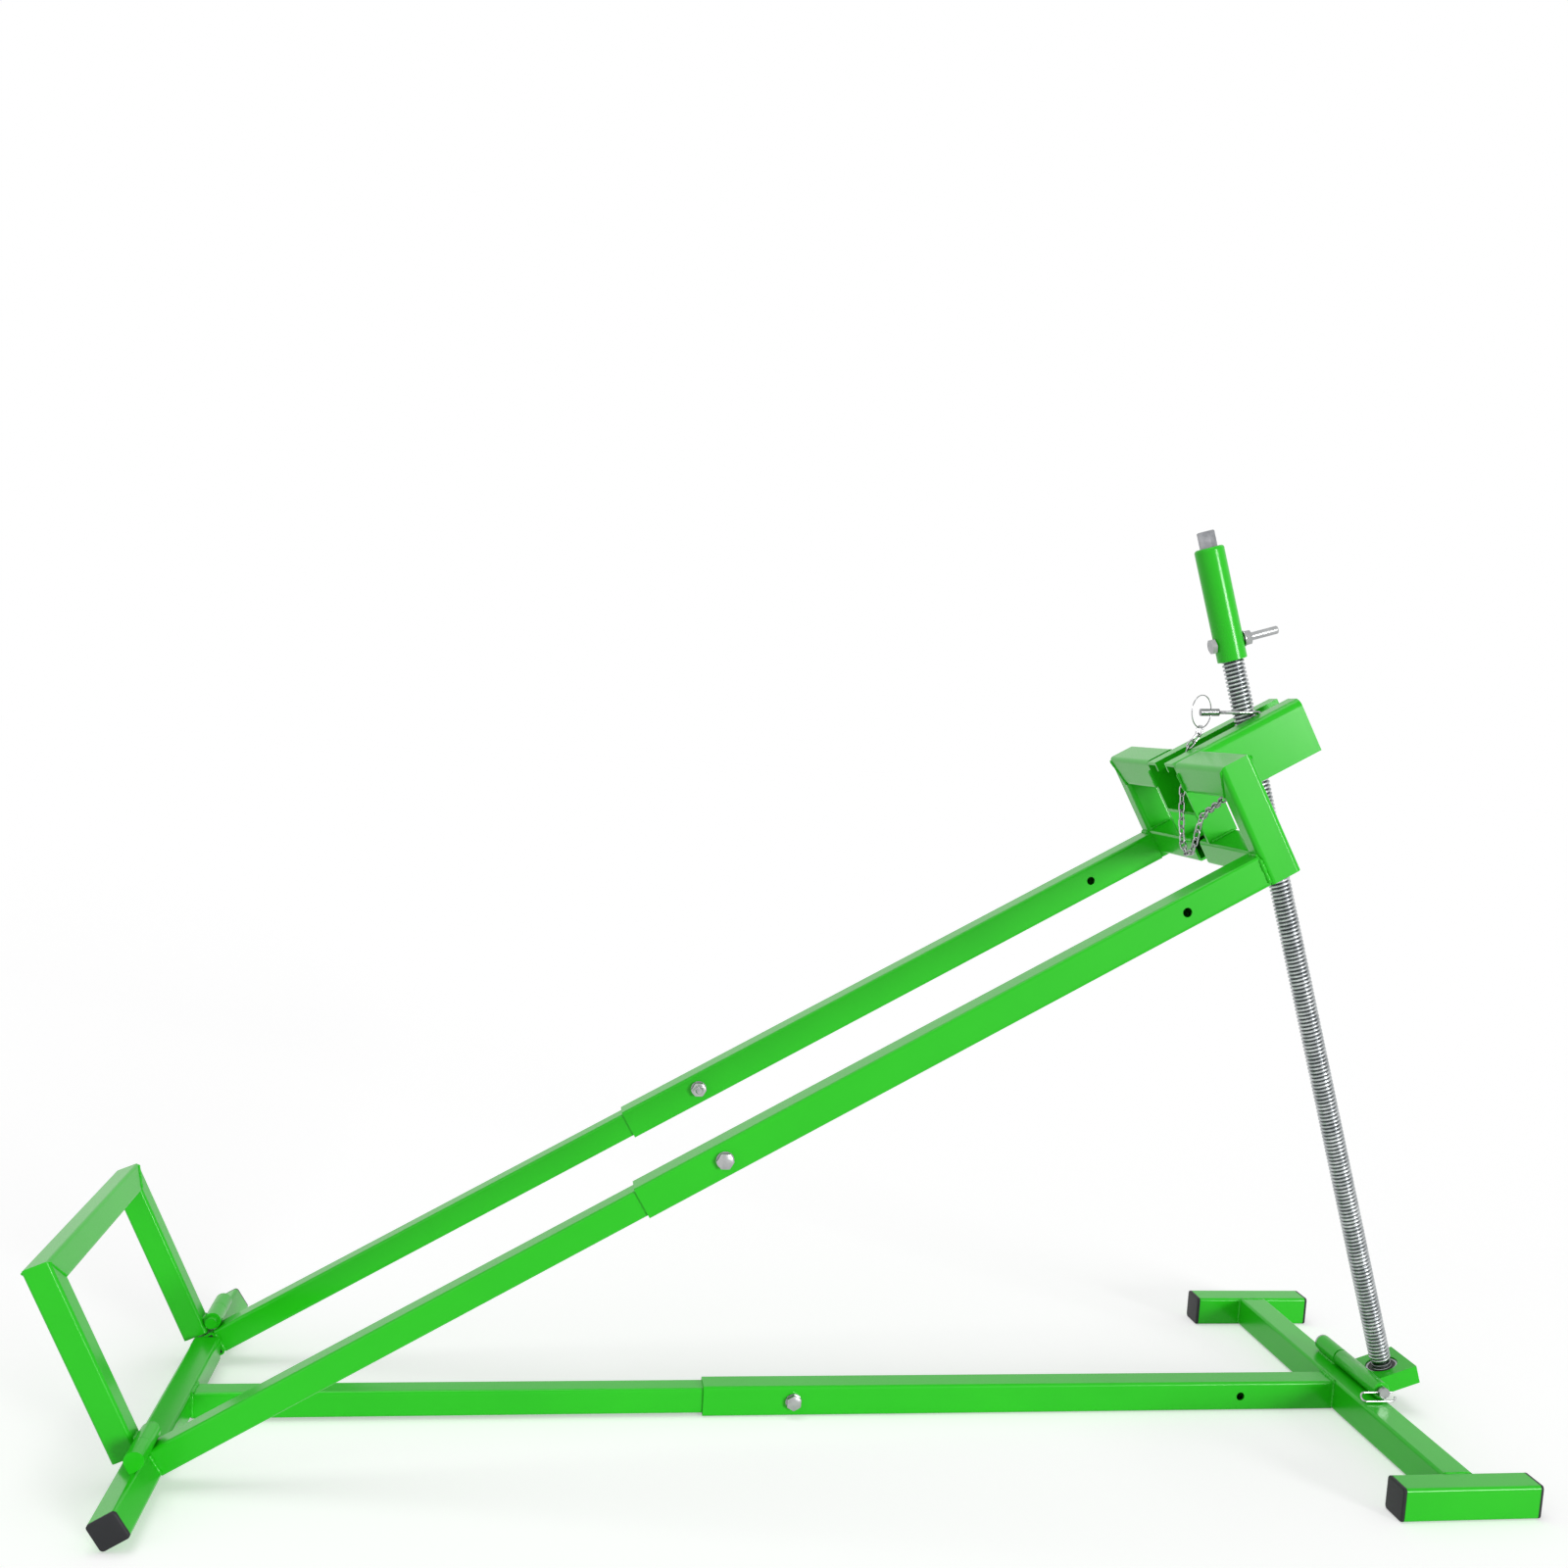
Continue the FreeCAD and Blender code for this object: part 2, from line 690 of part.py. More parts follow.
def clip_shape():
    """A spring clip: a leg through the pin, a tight bend, and a leg that curls round in front of the pin."""
    across = given.barrel_split - given.moving_barrel_length - given.foot_pin_tail + given.clip_inset
    slant = math.sqrt(0.5)
    down = Vector(0, -slant, -slant)

    def at(along, drop):
        return Vector(along, across, 0) + down * drop

    curl = given.clip_drop / 2
    far = -given.clip_leg
    leg = Part.LineSegment(at(given.clip_leg / 2, 0), at(far, 0)).toShape()
    bend = Part.Arc(at(far, 0), at(far - curl, curl), at(far, 2 * curl)).toShape()
    back = Part.LineSegment(at(far, 2 * curl), at(given.clip_leg / 3, 2 * curl)).toShape()
    end = Part.Arc(
        at(given.clip_leg / 3, 2 * curl), at(given.clip_leg / 3 + curl * slant, 2 * curl - curl + curl * slant),
        at(given.clip_leg / 3 + curl, curl),
    ).toShape()
    path = Part.Wire([leg, bend, back, end])
    circle = Part.makeCircle(given.clip_wire_radius, at(given.clip_leg / 2, 0), AXES["x"])
    return path.makePipeShell([Part.Wire([circle])], True, False)


def bearing_block():
    """The block that is welded to the moving barrel and carries the spindle's bearing."""
    body = new_body("bearing_block", foot)
    box(
        body, ("-block_back", "-block_width / 2", "-block_thickness"),
        ("block_back + block_front", "block_width", "block_thickness"),
    )
    neck = "(foot_offset - block_back)"
    box(
        body, ("-foot_offset", "-block_width / 2", "-neck_depth"),
        (neck, "block_width / 2 + barrel_split", "neck_depth + neck_rise"),
    )
    cylinder(
        body, ("-foot_offset", "-block_width / 2 - overrun", "foot_drop"), "barrel_radius",
        "block_width + 2 * overrun", "y", cut=True,
    )
    seat = "(bearing_inset + bearing_width)"
    cylinder(body, ("0", "0", f"-{seat}"), "bearing_radius", f"{seat} + overrun", cut=True)
    cylinder(
        body, ("0", "0", "-block_thickness - overrun"), "block_bore", "block_thickness + overrun", cut=True,
    )


def bearing():
    """A deep-groove ball bearing: outer ring, balls, inner ring and the seal that shows."""
    bottom = "-(bearing_inset + bearing_width)"
    middle = f"({bottom} + bearing_width / 2)"
    orbit = "((race_outer + race_inner) / 2)"
    outer = new_body("bearing_outer_ring", foot)
    cylinder(outer, ("0", "0", bottom), "bearing_radius", "bearing_width")
    cylinder(outer, ("0", "0", f"{bottom} - overrun"), "race_outer", "bearing_width + 2 * overrun", cut=True)
    inner = new_body("bearing_inner_ring", foot)
    cylinder(inner, ("0", "0", bottom), "race_inner", "bearing_width")
    cylinder(inner, ("0", "0", f"{bottom} - overrun"), "bearing_bore", "bearing_width + 2 * overrun", cut=True)
    for ring in (outer, inner):
        feature(ring, "Torus", {"Radius1": orbit, "Radius2": "groove_radius"}, ("0", "0", middle), cut=True)
    balls = []
    radius = (given.race_outer + given.race_inner) / 2
    level = -(given.bearing_inset + given.bearing_width / 2)
    for number in range(given.ball_count):
        turn = 2 * math.pi * number / given.ball_count
        ball = document.addObject("Part::Sphere", "ball")
        bind(ball, "Radius", "ball_radius")
        spot = Vector(radius * math.cos(turn), radius * math.sin(turn), level)
        ball.Placement = foot.multiply(Placement(spot, Rotation()))
        balls.append(ball)
    group("bearing_balls", balls)
    seal = new_body("bearing_seal", foot)
    height = "-bearing_inset - seal_thickness"
    cylinder(seal, ("0", "0", height), "race_outer - seal_clearance", "seal_thickness")
    cylinder(
        seal, ("0", "0", f"{height} - overrun"), "race_inner + seal_clearance",
        "seal_thickness + 2 * overrun", cut=True,
    )


# Spindle, drive sleeve and nut

def spindle():
    """The spindle on its collar and journal, and the spring ring that holds it under the bearing."""
    body = new_body("spindle", foot)
    seat = "(bearing_inset + bearing_width)"
    under = f"({seat} + ring_width)"
    end = "(block_thickness + journal_tail)"
    cylinder(body, ("0", "0", "collar_height"), "spindle_radius", "spindle_rise - collar_height")
    cylinder(body, ("0", "0", "-bearing_inset"), "collar_radius", "bearing_inset + collar_height")
    cylinder(body, ("0", "0", f"-{seat}"), "bearing_bore", "bearing_width")
    cylinder(body, ("0", "0", f"-{under}"), "bearing_bore - ring_groove_depth", "ring_width")
    cylinder(body, ("0", "0", f"-{end}"), "bearing_bore", f"{end} - {under}")
    cylinder(
        body, ("-2 * spindle_radius", "0", "sleeve_start + sleeve_bolt_level"), "hole_radius",
        "4 * spindle_radius", "x", cut=True,
    )
    ring = new_body("spring_ring", foot)
    cylinder(ring, ("0", "0", f"-{under}"), "ring_radius", "ring_width")
    cylinder(
        ring, ("0", "0", f"-{under} - overrun"), "bearing_bore - ring_groove_depth",
        "ring_width + 2 * overrun", cut=True,
    )
    box(
        ring, ("0", "-ring_gap / 2", f"-{under} - overrun"),
        ("2 * ring_radius", "ring_gap", "ring_width + 2 * overrun"), cut=True,
    )


def drive_sleeve():
    """The tube over the spindle's end, the hexagon in its top, and the bolt across both."""
    sleeve = new_body("drive_sleeve", foot)
    cylinder(sleeve, ("0", "0", "sleeve_start"), "sleeve_radius", "sleeve_length")
    cylinder(
        sleeve, ("0", "0", "sleeve_start - overrun"), "spindle_radius + sleeve_clearance",
        "sleeve_length + 2 * overrun", cut=True,
    )
    level = "sleeve_start + sleeve_bolt_level"
    cylinder(sleeve, ("-2 * sleeve_radius", "0", level), "hole_radius", "4 * sleeve_radius", "x", cut=True)
    body = new_body("drive_hexagon", foot)
    top = "(sleeve_start + sleeve_length)"
    cylinder(body, ("0", "0", f"{top} - hexagon_insert"), "spindle_radius + sleeve_clearance", "hexagon_insert")
    hexagon(body, ("0", "0", top), "hexagon_flats", "hexagon_rise")
    seat = "sleeve_radius + washer_thickness"
    bolt_body = new_body("sleeve_bolt", foot)
    hexagon(bolt_body, ("-sleeve_radius - bolt_head_height", "0", level), "bolt_flats", "bolt_head_height", "x")
    cylinder(bolt_body, ("-sleeve_radius", "0", level), "bolt_radius", "sleeve_bolt_length", "x")
    nut = new_body("sleeve_nut", foot)
    hexagon(nut, (seat, "0", level), "bolt_flats", "nut_height", "x")
    cylinder(nut, (f"{seat} - overrun", "0", level), "bolt_radius", "nut_height + 2 * overrun", "x", cut=True)
    washer = new_body("sleeve_washer", foot)
    cylinder(washer, ("sleeve_radius", "0", level), "washer_radius", "washer_thickness", "x")
    cylinder(
        washer, ("sleeve_radius - overrun", "0", level), "bolt_radius",
        "washer_thickness + 2 * overrun", "x", cut=True,
    )


def lift_nut():
    """The nut block that the spindle climbs through, inside the channel."""
    frame = foot.multiply(Placement(Vector(0, 0, nut_height_on_spindle), Rotation()))
    body = new_body("lift_nut", frame)
    box(
        body, ("-nut_side / 2", "-nut_width / 2", "-nut_thickness / 2"),
        ("nut_side", "nut_width", "nut_thickness"),
    )
    round_edges(body, "y", "nut_corner")
    cylinder(
        body, ("0", "0", "-nut_thickness / 2 - overrun"), "spindle_radius + thread_clearance",
        "nut_thickness + 2 * overrun", cut=True,
    )


# Wheel stop

def wheel_stop():
    """The folding hoop: two uprights, the top bar, its barrels, and the pins in the arm's barrels."""
    half = "(stop_outer_width / 2)"
    inner = f"({half} - stop_side)"
    back = "(-stop_barrel_radius - stop_side)"
    low = "(-stop_barrel_radius - stop_clearance)"
    bottom = given.stop_barrel_radius + given.stop_clearance
    top = given.stop_height - bottom
    half_y = given.stop_outer_width / 2
    inner_corner = (half_y - given.stop_side, top - given.stop_side)
    outer_corner = (half_y, top)
    depth = (-given.stop_barrel_radius - given.stop_side, given.stop_side)
    barrels = []
    pins = []
    for name, side in SIDES.items():
        upright = tube(
            f"stop_upright_{name}", stop, "z",
            (back, sided(side, inner, half), low),
            ("stop_side", "stop_side", "stop_height"), "stop_wall",
        )
        mitre(upright, side, inner_corner, outer_corner, depth, keep_below=True)
        barrel = new_body("stop_barrel", stop, shown=False)
        start = f"({inner} + stop_barrel_inset)"
        place = sided(side, start, f"{start} + stop_barrel_length")
        cylinder(barrel, ("0", place, "0"), "stop_barrel_radius", "stop_barrel_length", "y")
        cylinder(
            barrel, ("0", f"{place} - overrun", "0"), "pin_radius + running_clearance",
            "stop_barrel_length + 2 * overrun", "y", cut=True,
        )
        barrels.append(barrel)
        pin = new_body("stop_pin", arm.multiply(stop_axis), shown=False)
        outer_end = f"({stop_barrel_end()} + barrel_play + arm_barrel_length)"
        cylinder(
            pin, ("0", sided(side, "stop_pin_inner", outer_end), "0"), "pin_radius",
            f"{outer_end} - stop_pin_inner", "y",
        )
        pins.append(pin)
    bar = tube(
        "stop_bar", stop, "y",
        (back, f"-{half}", f"{low} + stop_height - stop_side"),
        ("stop_side", "stop_outer_width", "stop_side"), "stop_wall",
    )
    for side in SIDES.values():
        mitre(bar, side, inner_corner, outer_corner, depth, keep_below=False)
    group("stop_barrels", barrels)
    group("stop_pins", pins)


# Safety pin, ring and chain

def oval_link(length, width, wire):
    """A closed oval loop of round wire in the XY plane, long in X."""
    radius = width / 2 - wire
    half = length / 2 - wire - radius
    corners = [
        Vector(half, -radius, 0), Vector(half, radius, 0), Vector(-half, radius, 0), Vector(-half, -radius, 0),
    ]
    tips = [Vector(half + radius, 0, 0), Vector(-half - radius, 0, 0)]
    edges = [
        Part.Arc(corners[0], tips[0], corners[1]).toShape(),
        Part.LineSegment(corners[1], corners[2]).toShape(),
        Part.Arc(corners[2], tips[1], corners[3]).toShape(),
        Part.LineSegment(corners[3], corners[0]).toShape(),
    ]
    circle = Part.makeCircle(wire, corners[0], AXES["x"])
    return Part.Wire(edges).makePipeShell([Part.Wire([circle])], True, False)


def safety_pin():
    """The pin lies nearly level over the channel, with its bail round the spindle; returns its ring's hole."""
    half = given.bail_length / 2
    radius = given.bail_width / 2 - given.bail_wire_radius
    on_lips = half - given.bail_width / 2 + math.sqrt(radius**2 - (given.slot_width / 2) ** 2)
    drop = given.rest_tilt - given.bail_slope
    height = on_lips * math.sin(math.radians(drop)) + given.bail_wire_radius + given.bail_gap
    crossing = nut_middle.x + (given.nut_drop + height) * math.tan(math.radians(given.rest_tilt - lean))
    rest = Vector(crossing - given.bail_setback, 0, given.portal_top + height)
    frame = arm.multiply(Placement(rest, Rotation(AXES["y"], drop)))
    bail = oval_link(given.bail_length, given.bail_width, given.bail_wire_radius)
    root = -half + given.bail_wire_radius
    radius = given.safety_pin_radius
    pin = Part.makeCylinder(radius, given.safety_pin_length, Vector(root, 0, 0), Vector(-1, 0, 0))
    hole_at = root - given.safety_pin_length + given.ring_hole_inset
    hole = Part.makeCylinder(given.ring_hole_radius, 4 * radius, Vector(hole_at, 0, -2 * radius), AXES["z"])
    made("safety_pin", bail.fuse(pin).cut(hole).removeSplitter(), frame)
    return frame.multVec(Vector(hole_at, 0, 0))


def split_ring(hole):
    """The ring stands upright in the pin's hole; returns its lowest point."""
    away = Rotation(AXES["z"], given.ring_turn).multVec(Vector(-given.split_ring_radius, 0, 0))
    middle = hole + away
    ring = Part.makeTorus(given.split_ring_radius, given.ring_wire_radius, middle, away.cross(AXES["z"]))
    made("split_ring", ring)
    return middle - Vector(0, 0, given.split_ring_radius)


# The hanging loop's points: share of the way to the eye, and share of the sag below the straight line
LOOP_SHARES = (
    (0, 0), (0.02, 0.4), (0.06, 0.8), (0.14, 1.14), (0.3, 1.16),
    (0.44, 0.96), (0.47, 0.68), (0.56, 0.42), (0.78, 0.24), (1, 0),
)


def chain(ring_bottom):
    """Links that drop from the ring, run along the slot's lip, fall through the slot and loop up to the eye."""
    half_link = given.link_width / 2 + given.chain_clearance
    pitch = given.link_length - 4 * given.link_wire_radius - given.link_play
    inner_half = given.link_length / 2 - 2 * given.link_wire_radius
    first_drop = inner_half - given.ring_wire_radius - given.link_play / 2
    start = ring_bottom + Vector(0, 0, pitch / 2 - first_drop)
    level = given.portal_top + half_link
    drop = (arm.inverse().multVec(ring_bottom).z - level) / math.cos(tilt)
    landing = ring_bottom - Vector(0, 0, drop)
    turn = given.portal_reach + given.chain_turn_reach
    over = arm.multVec(Vector(turn, -given.chain_turn_across, level + given.chain_turn_rise))
    fall = Vector(turn - given.chain_fall_run, -given.chain_fall_across, level - given.chain_fall_drop)
    fall = arm.multVec(fall)
    eye_level = given.portal_top - given.top_cross_height - (given.link_length - pitch) / 2 - given.chain_eye_gap
    eye_across = given.chain_eye_offset - given.rail_offset
    eye = arm.multVec(Vector(given.portal_reach + half_link, eye_across, eye_level))
    loop = [fall + (eye - fall) * way - Vector(0, 0, given.chain_sag * drop) for way, drop in LOOP_SHARES]
    curve = Part.BSplineCurve()
    curve.buildFromPoles([start, landing, over] + loop)
    joints = curve.discretize(Number=math.ceil(curve.length() / pitch) + 1)
    link = oval_link(given.link_length, given.link_width, given.link_wire_radius)
    links = []
    for number, (first, last) in enumerate(zip(joints, joints[1:])):
        copy = link.copy()
        roll = Rotation(AXES["x"], given.link_roll + 90 * (number % 2))
        copy.Placement = Placement((first + last) * 0.5, Rotation(AXES["x"], last - first).multiply(roll))
        links.append(copy)
    made("chain", Part.makeCompound(links))


base_tubes()
caps_of_feet()
pivot_pieces()
bolts()
stubs()
rails()
portal()
channel()
foot_hinge()
bearing_block()
bearing()
spindle()
drive_sleeve()
lift_nut()
wheel_stop()
chain(split_ring(safety_pin()))

document.recompute()
for item in document.Objects:
    if "Invalid" in item.State or "Error" in item.State:
        raise RuntimeError(f"{item.Label} did not compute: {item.State}")
for label, item in pieces.items():
    if item.Shape.isNull() or not item.Shape.isValid() or not item.Shape.Solids:
        raise RuntimeError(f"{label} has no valid solid")

os.makedirs("parts", exist_ok=True)
for label, item in pieces.items():
    item.Shape.exportStep(f"parts/{label}.step")
print(len(pieces), "sub-parts")
print("pivot", pivot, "hinge", hinge, "lean", round(lean, 4), "nut", round(nut_height_on_spindle, 3))
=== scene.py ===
# %% [markdown]
# # A screw-driven lawn mower lift
#
# The lift is a low base of square steel tube and a long arm that swings up from its rear end. A
# threaded spindle stands in a bearing at the front, and the arm climbs it. The exact tubes, bolts
# and bearings come from a CAD model, and they are loaded here as a fixed frame. Blender adds what
# a drawing leaves out: weld beads, the real thread, chamfers, paint, zinc and chrome, and the
# light to see them by.

# %% Load the frame
import json
import math

import bmesh
import bpy
from mathutils import Matrix, Vector


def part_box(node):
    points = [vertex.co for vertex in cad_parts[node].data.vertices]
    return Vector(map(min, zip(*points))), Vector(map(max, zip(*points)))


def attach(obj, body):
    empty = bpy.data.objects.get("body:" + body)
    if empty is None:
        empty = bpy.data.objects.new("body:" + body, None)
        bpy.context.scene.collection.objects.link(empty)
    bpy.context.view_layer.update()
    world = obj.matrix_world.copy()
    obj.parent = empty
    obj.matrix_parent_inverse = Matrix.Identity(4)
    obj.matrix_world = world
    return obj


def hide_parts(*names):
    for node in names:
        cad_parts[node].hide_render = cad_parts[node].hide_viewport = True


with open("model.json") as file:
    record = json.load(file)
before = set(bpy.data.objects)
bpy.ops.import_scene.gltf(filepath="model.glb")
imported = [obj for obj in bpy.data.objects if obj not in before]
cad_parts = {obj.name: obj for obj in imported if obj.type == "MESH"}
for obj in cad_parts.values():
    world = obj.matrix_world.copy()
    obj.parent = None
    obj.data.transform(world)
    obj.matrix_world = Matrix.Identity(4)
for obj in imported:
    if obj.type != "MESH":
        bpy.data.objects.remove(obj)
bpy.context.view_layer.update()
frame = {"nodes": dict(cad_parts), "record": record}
nodes = frame["nodes"]

# %% [markdown]
# ## The camera comes first
#
# A long view from low down on the right side shows the whole lift. The photograph's camera was
# worked out from the straight tubes of the base, so its place, its aim and a small lens shift are
# plain numbers here. The aim is given as a heading, a dip and a roll in degrees, which is how a
# photographer would describe it.

# %% Camera
HEADING = 10.97
DIP = 7.02
ROLL = 3.76
CAMERA_PLACE = (-1.0637, -2.0140, 0.8545)
LENS = 38.986
LENS_SHIFT = (-0.0573, 0.0971)
SIGHT_END = 60

camera_data = bpy.data.cameras.new("view")
camera_data.sensor_width = 36
camera_data.lens = LENS
camera_data.shift_x, camera_data.shift_y = LENS_SHIFT
camera_data.clip_end = SIGHT_END
camera = bpy.data.objects.new("view", camera_data)
bpy.context.scene.collection.objects.link(camera)
aim = (
    Matrix.Rotation(math.radians(-HEADING), 4, "Z")
    @ Matrix.Rotation(math.radians(90 - DIP), 4, "X")
    @ Matrix.Rotation(math.radians(ROLL), 4, "Z")
)
camera.matrix_world = Matrix.Translation(CAMERA_PLACE) @ aim
bpy.context.scene.camera = camera
view_line = camera.matrix_world.to_3x3() @ Vector((0, 0, -1))
print("looks along", [round(value, 4) for value in view_line])

# %% [markdown]
# ## Millimetres and frames
#
# The maker's drawing is in millimetres, and the arm, the spindle's foot and the wheel stop each
# lean at their own angle. Each of them has a matrix that turns drawing numbers into places in the
# scene, so a weld on the arm can be given along the arm, as the welder would see it.

# %% Frames
MM = 0.001
TO_MM = 1000
REAR_HALF = 16
OUTER_HALF = 19
BASE_REACH = 1463
TILT = math.radians(30.2)
LEAN = math.radians(18.1952)
STOP_LEAN = math.radians(7)
HINGE_AT = (12.5, 0, 51.5)
BLOCK_AT = (41, 0, -9.9)
STOP_HINGE_AT = (20, 0, 26.9)

pivot_height = REAR_HALF * (math.cos(TILT) + math.sin(TILT))
pivot = (-BASE_REACH, 0, pivot_height)
BASE = Matrix.Scale(MM, 4)
ARM = BASE @ Matrix.Translation(pivot) @ Matrix.Rotation(-TILT, 4, "Y")
HINGE = BASE @ Matrix.Translation(HINGE_AT) @ Matrix.Rotation(-LEAN, 4, "Y")
FOOT = HINGE @ Matrix.Translation(BLOCK_AT)
STOP = ARM @ Matrix.Translation(STOP_HINGE_AT) @ Matrix.Rotation(STOP_LEAN, 4, "Y")

# %% Heights and lengths that several pieces share
RAIL = 179
PORTAL = 1389
PORTAL_TOP = 130
SLEEVE_START = 958.301
SPINDLE_TOP = SLEEVE_START + 81
SLEEVE_TOP = SLEEVE_START + 140
nut_at = ARM @ Vector((PORTAL + 115, 0, PORTAL_TOP - 38))
print("nut of the arm at", [round(value, 4) for value in nut_at])

# %% [markdown]
# ## Shared effects as node groups
#
# Paint, plating and plastic all have a fine unevenness that bends the light, and larger patches
# that are a little lighter or darker. Each effect is one node group with named sockets. It is
# built once and placed in every material with that material's own numbers. A group gives out only
# values that change over the surface.

# %% Helpers: nodes that take numbers or sockets
def feed(tree, socket, value):
    """Sets a socket to a value, or links it where the value is another socket."""
    if isinstance(value, bpy.types.NodeSocket):
        tree.links.new(value, socket)
    else:
        socket.default_value = value


def maths(tree, operation, *values, clamp=False):
    """The result of a maths node."""
    node = tree.nodes.new("ShaderNodeMath")
    node.operation = operation
    node.use_clamp = clamp
    for socket, value in zip(node.inputs, values):
        feed(tree, socket, value)
    return node.outputs[0]


def map_range(tree, value, source, target):
    """Carries a value from the source's pair of limits to the target's."""
    node = tree.nodes.new("ShaderNodeMapRange")
    labels = ("Value", "From Min", "From Max", "To Min", "To Max")
    for label, given in zip(labels, (value, *source, *target)):
        feed(tree, node.inputs[label], given)
    return node.outputs["Result"]


def blend(tree, amount, low, high):
    """Mixes two colours by an amount."""
    node = tree.nodes.new("ShaderNodeMix")
    node.data_type = "RGBA"
    for label, given in (("Factor", amount), ("A", low), ("B", high)):
        feed(tree, node.inputs[label], given)
    return node.outputs["Result"]


def noise(tree, scale, detail, roughness):
    """A noise texture over the object's own coordinates, with its scale from a socket."""
    place = tree.nodes.new("ShaderNodeTexCoord").outputs["Object"]
    node = tree.nodes.new("ShaderNodeTexNoise")
    for label, given in (
        ("Vector", place), ("Scale", scale), ("Detail", detail), ("Roughness", roughness),
    ):
        feed(tree, node.inputs[label], given)
    return node.outputs["Fac"]


# %% Helpers: groups
def new_group(name, inputs, outputs):
    """An empty shader node group with float inputs and outputs, and its two end nodes."""
    group = bpy.data.node_groups.new(name, "ShaderNodeTree")
    for label, value in inputs.items():
        socket = group.interface.new_socket(
            name=label, in_out="INPUT", socket_type="NodeSocketFloat",
        )
        socket.default_value = value
    for label in outputs:
        group.interface.new_socket(name=label, in_out="OUTPUT", socket_type="NodeSocketFloat")
    return group, group.nodes.new("NodeGroupInput"), group.nodes.new("NodeGroupOutput")


def placed(tree, group, numbers):
    """A group's node in a material, with that material's own numbers."""
    node = tree.nodes.new("ShaderNodeGroup")
    node.node_tree = group
    for label, value in numbers.items():
        node.inputs[label].default_value = value
    return node


# %% Node group: fine unevenness
unevenness, start, end = new_group(
    "Unevenness", {"Scale": 300.0, "Low": 0.3, "High": 0.5}, ["Height", "Roughness"],
)
grain = noise(unevenness, start.outputs["Scale"], detail=3.0, roughness=0.5)
limits = (start.outputs["Low"], start.outputs["High"])
feed(unevenness, end.inputs["Height"], grain)
feed(unevenness, end.inputs["Roughness"], map_range(unevenness, grain, (0.3, 0.7), limits))
print("group", unevenness.name, [item.name for item in unevenness.interface.items_tree])

# %% Node group: large patches
MIDDLE = 0.5
patches, start, end = new_group("Patches", {"Scale": 6.0, "Contrast": 1.0}, ["Amount"])
cloud = noise(patches, start.outputs["Scale"], detail=4.0, roughness=0.6)
centred = maths(patches, "SUBTRACT", cloud, MIDDLE)
contrast = start.outputs["Contrast"]
amount = maths(patches, "MULTIPLY_ADD", centred, contrast, MIDDLE, clamp=True)
feed(patches, end.inputs["Amount"], amount)
print("group", patches.name)

# %% [markdown]
# ## One recipe for every finish
#
# Every finish here is a Principled shader with two close colours mixed by the patches, a roughness
# that wanders between two values, and a very small bump. The same recipe makes paint, zinc or
# plastic, and only the numbers differ. A number that is the same all over, such as the coat's
# roughness, is set on the shader's own socket.

# %% The recipe
DARK_REFLECTION_BLEND = 0.4


def linear(colour):
    """A colour from 0..255 screen values to Blender's linear values."""
    def one(value):
        value /= 255
        return value / 12.92 if value <= 0.04045 else ((value + 0.055) / 1.055) ** 2.4
    return (*(one(value) for value in colour), 1.0)


def finish(name, light, dark, patch_scale, contrast, grain_scale, rough, bump, plain, dark_reflection=0.0):
    """A material of two colours with patches and grain; painted dark reflection where it turns
    away.

    The roughness has a low and a high value, and the bump has a strength and a distance.
    """
    material = bpy.data.materials.new(name)
    material.use_nodes = True
    tree = material.node_tree
    shader = tree.nodes["Principled BSDF"]
    for label, value in plain.items():
        shader.inputs[label].default_value = value
    amount = placed(tree, patches, {"Scale": patch_scale, "Contrast": contrast}).outputs["Amount"]
    # Painted dark reflection: where the surface turns from the camera, the colour goes toward the
    # dark one
    if dark_reflection:
        turned = tree.nodes.new("ShaderNodeLayerWeight")
        turned.inputs["Blend"].default_value = DARK_REFLECTION_BLEND
        kept = map_range(tree, turned.outputs["Facing"], (0.0, 1.0), (1.0, 1.0 - dark_reflection))
        amount = maths(tree, "MULTIPLY", amount, kept)
    feed(tree, shader.inputs["Base Color"], blend(tree, amount, linear(dark), linear(light)))
    low, high = rough
    fine = placed(tree, unevenness, {"Scale": grain_scale, "Low": low, "High": high})
    feed(tree, shader.inputs["Roughness"], fine.outputs["Roughness"])
    relief = tree.nodes.new("ShaderNodeBump")
    strength, distance = bump
    for label, given in (
        ("Strength", strength), ("Distance", distance), ("Height", fine.outputs["Height"]),
    ):
        feed(tree, relief.inputs[label], given)
    feed(tree, shader.inputs["Normal"], relief.outputs["Normal"])
    return material


# %% [markdown]
# ## Bright green powder coat
#
# Powder coat is a thick, glossy skin with a faint orange-peel ripple about a millimetre or two
# across. It could be a plain glossy green, but then the long flat tubes would look like cut paper.
# A clear coat over a slightly rough base gives the soft highlights on the tube corners and the
# pale reflections on faces seen at a glancing angle.

# %% Green powder coat
green_coat = finish(
    "green_powder_coat", light=(38, 202, 22), dark=(28, 186, 16),
    patch_scale=5.0, contrast=1.2, grain_scale=700.0, rough=(0.30, 0.42), bump=(0.04, 0.0004),
    plain={
        "Metallic": 0.0, "IOR": 1.45, "Specular IOR Level": 0.12,
        "Coat Weight": 0.45, "Coat Roughness": 0.18,
    },
)
print(green_coat.name)
